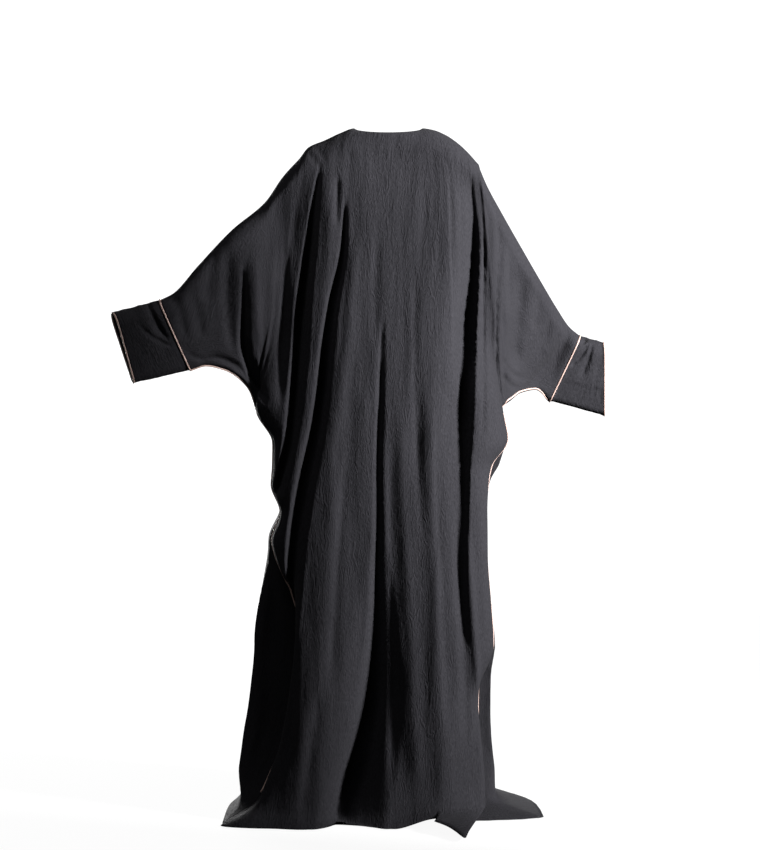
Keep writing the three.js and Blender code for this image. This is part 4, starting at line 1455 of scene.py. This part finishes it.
@dataclass
class Cuff:
    """A straight cuff set on the end of a sleeve.

    The hold is how far from both ends the creases fade, and the hem is a shallow line of stitching
    with its depth, its place from the open end and its width.
    """

    hand: Hand
    around: int = 132
    along: int = 34
    wall: float = 1.1
    gap: float = 0.4
    tuck: float = 2.0
    tuck_around: tuple[float, float] = (128.0, 142.0)
    hold: tuple[float, float] = (6.0, 5.0)
    hem: tuple[float, float, float] = (0.5, 14.0, 1.6)
    crinkle: tuple[Wave, ...] = (Wave(0.8, 16, 50), Wave(0.4, 7, 30))
    seed: int = 5

    @property
    def word(self) -> str:
        """The side as a word."""
        return self.hand.name.lower()

    def lines(self, share: Array) -> tuple[Array, Array]:
        """Follow the top and the bottom of the cuff.

        Args:
            share: The share of its length, 0 at the sleeve.

        Returns:
            The points of the top line and of the bottom line.
        """
        arm = ARMS[self.hand]
        first = arm.over.point(np.array(1.0))
        low = arm.under.point(np.array(1.0))
        top = mix(first, np.array(arm.end_top, float), share[..., None])
        bottom = mix(low, np.array(arm.end_bottom, float), share[..., None])
        return top, bottom

    def rings(self, share: Array, count: int) -> Array:
        """Closed rings round the cuff.

        Args:
            share: Where each ring lies, 0 at the sleeve and 1 at the open end.
            count: How many points each ring has, which is even.

        Returns:
            The points, ring by ring.
        """
        half = count // 2
        rest = np.arange(half + 1) / half
        down = (rest + (1 - np.cos(rest * np.pi)) / 2) / 2
        top, bottom = self.lines(share[:, None] * np.ones((1, half + 1)))
        height = np.linalg.norm(bottom - top, axis=-1)
        depth = mix(FORM.wrist_depth, FORM.cuff_depth, share)[:, None]
        base = mix(top, bottom, down[None, :, None])
        bulge = depth * sleeve_profile(down[None], height, FORM.wrist_roll)
        slant = FORM.cuff_slant[0 if self.hand is Hand.LEFT else 1] * share[:, None] * bulge
        behind = base + np.stack([slant, -bulge, np.zeros_like(bulge)], -1)
        ahead = base + np.stack([-slant, bulge, np.zeros_like(bulge)], -1)
        return np.concatenate([behind, ahead[:, -2:0:-1]], axis=1)

    def outward(self, share: Array) -> Array:
        """The direction out of the sleeve, along the arm.

        Args:
            share: Where each ring lies, 0 at the sleeve and 1 at the open end.

        Returns:
            A direction with a length of 1 for each.
        """
        top, bottom = self.lines(share)
        facing = unit(np.cross(np.array([0.0, 1.0, 0.0]), bottom - top))
        return np.where(facing[:, :1] * self.hand.value < 0, -facing, facing)

    def creases(self, around: Array, along: Array) -> Array:
        """How deep the cuff's creases are.

        Args:
            around: Millimetres down from the top of the cuff, below 0 on the side that faces ahead.
            along: Millimetres from the sleeve.

        Returns:
            The depth at each place.
        """
        total = np.zeros_like(around)
        for crease in CUFF_CREASES[self.hand] + CUFF_CREASES_AHEAD:
            total += crease.push(around, along)
        if self.hand is Hand.RIGHT:
            total += self.tuck * ease_between(around, *self.tuck_around)
        return total

    def build(self, cloth: bpy.types.Material) -> bpy.types.Object:
        """Make the cuff.

        Args:
            cloth: Its finish.

        Returns:
            The finished piece.
        """
        share = np.linspace(0, 1, self.along + 1)
        lines = self.lines(share)
        outer = self.rings(share, self.around)
        facing = self.outward(share)
        outer[0] += facing[0] * self.gap
        step = np.linalg.norm(np.diff(np.concatenate([outer, outer[:, :1]], 1), axis=1), axis=-1)
        run = np.hstack([np.zeros((len(share), 1)), np.cumsum(step, axis=1)])
        whole = run[:, -1:]
        place = run[:, :-1]
        around = np.where(place > whole / 2, place - whole, place)
        length, low_length = (np.linalg.norm(line[-1] - line[0]) for line in lines)
        along = share[:, None] * length * np.ones_like(place)
        normals = self.normals(outer, facing)
        from_sleeve, from_end = self.hold
        clear = ease(clamp(along / from_sleeve)) * ease(clamp((length - along) / from_end))
        push = rippled(self.creases(around, along), self.crinkle, along, around, self.seed)
        deep, place_of_hem, wide = self.hem
        hem = deep * np.exp(-(((length - along - place_of_hem) / wide) ** 2))
        outer = outer - normals * ((push * clear) + hem)[..., None]
        inner = outer - normals * self.wall
        count = self.around
        rows, cols = np.meshgrid(np.arange(self.along), np.arange(count), indexing="ij")
        here = (rows * count + cols).ravel()
        beside = (rows * count + (cols + 1) % count).ravel()
        quads = np.stack([here, beside, beside + count, here + count], 1)
        if self.hand is Hand.LEFT:
            quads = quads[:, ::-1]
        uv = np.stack([along, around], -1)
        shell = Shell(
            f"cuff_{self.word}_cloth",
            outer.reshape(-1, 3),
            inner.reshape(-1, 3),
            quads,
            uv.reshape(-1, 2),
        )
        piece = shell.build(cloth)
        dress(piece, "crepe", f"cuff_{self.word}")
        return piece

    def normals(self, rings: Array, facing: Array) -> Array:
        """The outward direction at every point of the rings.

        Args:
            rings: The points, ring by ring.
            facing: The direction along the arm at each ring.

        Returns:
            A direction with a length of 1 for each point.
        """
        run = np.roll(rings, -1, axis=1) - np.roll(rings, 1, axis=1)
        out = unit(np.cross(run, facing[:, None, :]))
        centre = rings.mean(1, keepdims=True)
        wrong = (out * (rings - centre)).sum(-1, keepdims=True) < 0
        return np.where(wrong, -out, out)


@dataclass
class Piping:
    """Satin piping along the garment's seams.

    On the sides it runs at the outermost of the back's first columns, as many as its reach and at
    most the furthest beyond the column that it follows. The inset is how many rows above the
    underarm seam and how many columns in from the side seam that is, on the left and on the right.
    The rings say where round a cuff it lies: the word for the place, the share of the cuff's
    length, and how many radii out of the cloth and out of the sleeve.
    """

    radius: float = 1.9
    girth_m: float = 0.012
    sides: int = 10
    foot: float = -1485.0
    proud: float = 1.1
    under_share: float = 0.5
    lean: float = 1.6
    reach: int = 9
    furthest: float = 9.0
    inset: tuple[tuple[int, int], tuple[int, int]] = ((1, 2), (3, 1))
    leave_cuff: int = 9
    reach_pit: int = 7
    leave_pit: int = 9
    smooth: int = 3
    rings: tuple[tuple[str, float, float, float], ...] = (
        ("join", 0.0, 0.6, 0.0),
        ("end", 1.0, -0.2, 0.7),
    )

    def cord(self, name: str, path: Array, closed: bool, satin: bpy.types.Material) -> bpy.types.Object:
        """A round cord along a path.

        Args:
            name: Its name.
            path: The points along its middle.
            closed: Whether it joins up with itself.
            satin: Its finish.

        Returns:
            The finished cord.
        """
        count = len(path)
        if closed:
            run = unit(np.roll(path, -1, axis=0) - np.roll(path, 1, axis=0))
        else:
            run = unit(np.gradient(path, axis=0))
        side = np.zeros_like(path)
        last = np.array([0.0, 1.0, 0.0])
        for i in range(count):
            last = unit(last - run[i] * (last @ run[i]))
            side[i] = last
        up = np.cross(run, side)
        angle = np.arange(self.sides) / self.sides * 2 * np.pi
        ring = side[:, None] * np.cos(angle)[None, :, None] + up[:, None] * np.sin(angle)[None, :, None]
        points = (path[:, None] + ring * self.radius).reshape(-1, 3) * METRE
        length = np.r_[0, np.cumsum(np.linalg.norm(np.diff(path, axis=0), axis=1))] * METRE
        faces = []
        for i in range(count if closed else count - 1):
            for k in range(self.sides):
                here = i * self.sides + k
                beside = i * self.sides + (k + 1) % self.sides
                ahead = (i + 1) % count * self.sides + k
                across = (i + 1) % count * self.sides + (k + 1) % self.sides
                faces.append((here, beside, across, ahead))
        if not closed:
            faces.append(tuple(range(self.sides))[::-1])
            faces.append(tuple((count - 1) * self.sides + k for k in range(self.sides)))
        mesh = bpy.data.meshes.new(name)
        mesh.from_pydata(points.tolist(), [], faces)
        layer = mesh.uv_layers.new(name="grain")
        for loop in mesh.loops:
            i, k = divmod(loop.vertex_index, self.sides)
            layer.data[loop.index].uv = (length[i], k / self.sides * self.girth_m)
        for face in mesh.polygons:
            face.use_smooth = len(face.vertices) == 4
        mesh.materials.append(satin)
        mesh.update()
        piece = bpy.data.objects.new(name, mesh)
        bpy.context.scene.collection.objects.link(piece)
        return piece

    def along_seam(self, robe: Robe, hand: Hand) -> Array:
        """Where the piping of one underarm and side runs, a little proud of the back's outline.

        Args:
            robe: The panels.
            hand: The side.

        Returns:
            The points along its middle, from the cuff down.
        """
        back = robe.back
        columns, rows = robe.seam(hand)
        raised, aside = self.inset[0 if hand is Hand.LEFT else 1]
        step, outward = (1, -1.0) if hand is Hand.LEFT else (-1, 1.0)
        place = np.arange(len(columns))
        pit = back.sleeve
        share = ease_between(place, 0, self.leave_cuff)
        share = share * (1 - ease_between(place, pit - self.reach_pit, pit))
        seam = back.points[columns, rows]
        under = mix(seam, back.points[columns, rows - raised], share[:, None])
        beside = back.points[columns + step * aside, rows]
        reached = [back.points[columns + step * k, rows, 0] * outward for k in range(self.reach)]
        edge = np.max(reached, axis=0)
        over = np.clip(edge - beside[:, 0] * outward, 0, self.furthest) + self.proud
        turn = ease_between(place, pit, pit + self.leave_pit)
        window = 2 * self.smooth + 1
        over = np.pad(over * turn, self.smooth, mode="edge")
        over = np.convolve(over, np.full(window, 1 / window), mode="valid")
        sleeve = under + back.normals[columns, rows] * self.proud * self.under_share
        side = mix(seam, beside, turn[:, None])
        side[:, 0] += over * outward
        path = np.where((place < pit)[:, None], sleeve, side) - np.array([0.0, self.lean, 0.0])
        return path[path[:, 2] > self.foot]

    def build(self, robe: Robe, cuffs: list[Cuff], satin: bpy.types.Material) -> list[bpy.types.Object]:
        """Make the piping of both sides.

        Args:
            robe: The panels whose side seams are piped.
            cuffs: The cuffs whose joins and ends are piped.
            satin: Its finish.

        Returns:
            The finished cords.
        """
        pieces = []
        for cuff in cuffs:
            paths = {}
            for word, share, out, beyond in self.rings:
                rings = cuff.rings(np.array([share]), cuff.around)
                facing = cuff.outward(np.array([share]))
                lifted = rings[0] + cuff.normals(rings, facing)[0] * (self.radius * out)
                path = lifted + facing[0] * (self.radius * beyond)
                paths[f"cuff_{word}_piping_{cuff.word}"] = path
            side = f"side_piping_{cuff.word}"
            paths[side] = self.along_seam(robe, cuff.hand)
            for name, path in paths.items():
                piece = self.cord(f"{name}_satin", path, name != side, satin)
                dress(piece, "piping", name)
                LOG.info("%s: %d faces", piece.name, len(piece.data.polygons))
                pieces.append(piece)
        return pieces


# ---- Studio -------------------------------------------------------------------------------------


@dataclass(frozen=True)
class Lamp:
    """A soft lamp: its place and target in metres, its power in watts, its width and its spread."""

    name: str
    place: tuple[float, float, float]
    power: float
    size: float
    target: tuple[float, float, float]
    spread: float = math.pi

    def hang(self) -> None:
        """Hang the lamp and turn it to its target."""
        lamp = bpy.data.lights.new(self.name, "AREA")
        lamp.energy = self.power
        lamp.size = self.size
        lamp.spread = self.spread
        holder = bpy.data.objects.new(self.name, lamp)
        holder.location = self.place
        holder.visible_camera = False
        aim = np.array(self.target) - np.array(self.place)
        yaw = math.atan2(aim[0], -aim[1])
        pitch = math.acos(-aim[2] / float(np.linalg.norm(aim)))
        holder.rotation_euler = (pitch, 0, yaw + math.pi)
        bpy.context.scene.collection.objects.link(holder)


@dataclass
class Studio:
    """A pale floor, soft light and the camera."""

    image: tuple[int, int] = (760, 850)
    focal_px: float = 2200.0
    principal_px: tuple[float, float] = (388.0, 322.0)
    camera_m: tuple[float, float, float] = (0.0, -5.0, -0.44)
    sensor_mm: float = 36.0
    floor_m: float = -1.5405
    floor_radius_m: float = 3.6
    floor_glow: float = 0.93
    dome_radius_m: float = 28.0
    dome_glow: float = 1.2
    room_light: float = 0.03
    lamps: tuple[Lamp, ...] = (
        Lamp("key", (5.0, -2.7, 1.3), 113.0, 1.2, (-0.1, 0.0, -0.3), math.radians(44)),
        Lamp("fill", (-2.4, -5.0, 0.4), 7.5, 2.6, (0.0, 0.0, -0.75)),
        Lamp("top", (-1.0, -1.0, 2.6), 19.0, 0.8, (-0.35, 0.0, -0.2)),
        Lamp("ahead", (-1.4, 4.8, -0.5), 400.0, 2.0, (0.0, 0.0, -0.75)),
    )
    flag_m: tuple[tuple[float, float], tuple[float, float]] = ((0.97, -0.73), (0.44, -1.81))
    flag_heights_m: tuple[float, float] = (-1.5, 1.0)

    def build(self) -> None:
        """Set up the floor, the light and the camera."""
        self._floor()
        self._sky()
        self._light()
        self._camera()

    def _floor(self) -> None:
        """Lay the floor."""
        bpy.ops.object.select_all(action="DESELECT")
        bpy.ops.mesh.primitive_circle_add(
            vertices=96, radius=self.floor_radius_m, fill_type="NGON", location=(0, 0, self.floor_m)
        )
        floor = bpy.context.active_object
        floor.name = "studio_floor"
        floor.data.materials.append(StudioPaint(glow=self.floor_glow).make())
        floor.visible_diffuse = False
        floor.visible_glossy = False

    def _sky(self) -> None:
        """Put a white dome round the studio, which lights nothing."""
        bpy.ops.object.select_all(action="DESELECT")
        bpy.ops.mesh.primitive_uv_sphere_add(segments=48, ring_count=24, radius=self.dome_radius_m)
        dome = bpy.context.active_object
        dome.name = "studio_dome"
        dome.data.materials.append(StudioPaint("studio dome", (0, 0, 0), self.dome_glow).make())
        for sight in ("diffuse", "glossy", "transmission", "volume_scatter", "shadow"):
            setattr(dome, f"visible_{sight}", False)

    def _light(self) -> None:
        """Hang the lamps and set the even light of the room."""
        world = bpy.data.worlds.new("studio")
        world.use_nodes = True
        background = next(node for node in world.node_tree.nodes if node.type == "BACKGROUND")
        background.inputs["Color"].default_value = (1, 1, 1, 1)
        background.inputs["Strength"].default_value = self.room_light
        bpy.context.scene.world = world
        for lamp in self.lamps:
            lamp.hang()
        self._flag()

    def _flag(self) -> None:
        """Stand a flag at the edge of the key light's beam, so that the left side is dimmer."""
        edge, far = self.flag_m
        low, high = self.flag_heights_m
        mesh = bpy.data.meshes.new("studio_flag")
        corners = [(*edge, low), (*far, low), (*far, high), (*edge, high)]
        mesh.from_pydata(corners, [], [(0, 1, 2, 3)])
        mesh.materials.append(StudioPaint("flag cloth", (0.0, 0.0, 0.0)).make())
        flag = bpy.data.objects.new("studio_flag", mesh)
        bpy.context.scene.collection.objects.link(flag)
        flag.visible_camera = False

    def _camera(self) -> None:
        """Set the camera straight behind the wearer."""
        width, height = self.image
        data = bpy.data.cameras.new("camera")
        data.sensor_width = self.sensor_mm
        data.lens = self.focal_px / height * data.sensor_width
        data.shift_x = (width / 2 - self.principal_px[0]) / height
        data.shift_y = (self.principal_px[1] - height / 2) / height
        camera = bpy.data.objects.new("camera", data)
        camera.location = self.camera_m
        camera.rotation_euler = (math.pi / 2, 0, 0)
        bpy.context.scene.collection.objects.link(camera)
        bpy.context.scene.camera = camera
        bpy.context.scene.view_settings.view_transform = "Standard"


def main() -> None:
    """Build the garment, its trim and the studio."""
    logging.basicConfig(level=logging.INFO, format="%(name)s: %(message)s")
    cloth = Crepe().make()
    satin = PipingSatin().make()
    robe = Robe()
    robe.build(cloth)
    cuffs = [Cuff(hand) for hand in Hand]
    for cuff in cuffs:
        cuff.build(cloth)
    trim = Piping().build(robe, cuffs, satin)
    LOG.info("piping: %d cords", len(trim))
    Studio().build()


if __name__ == "__main__":
    main()
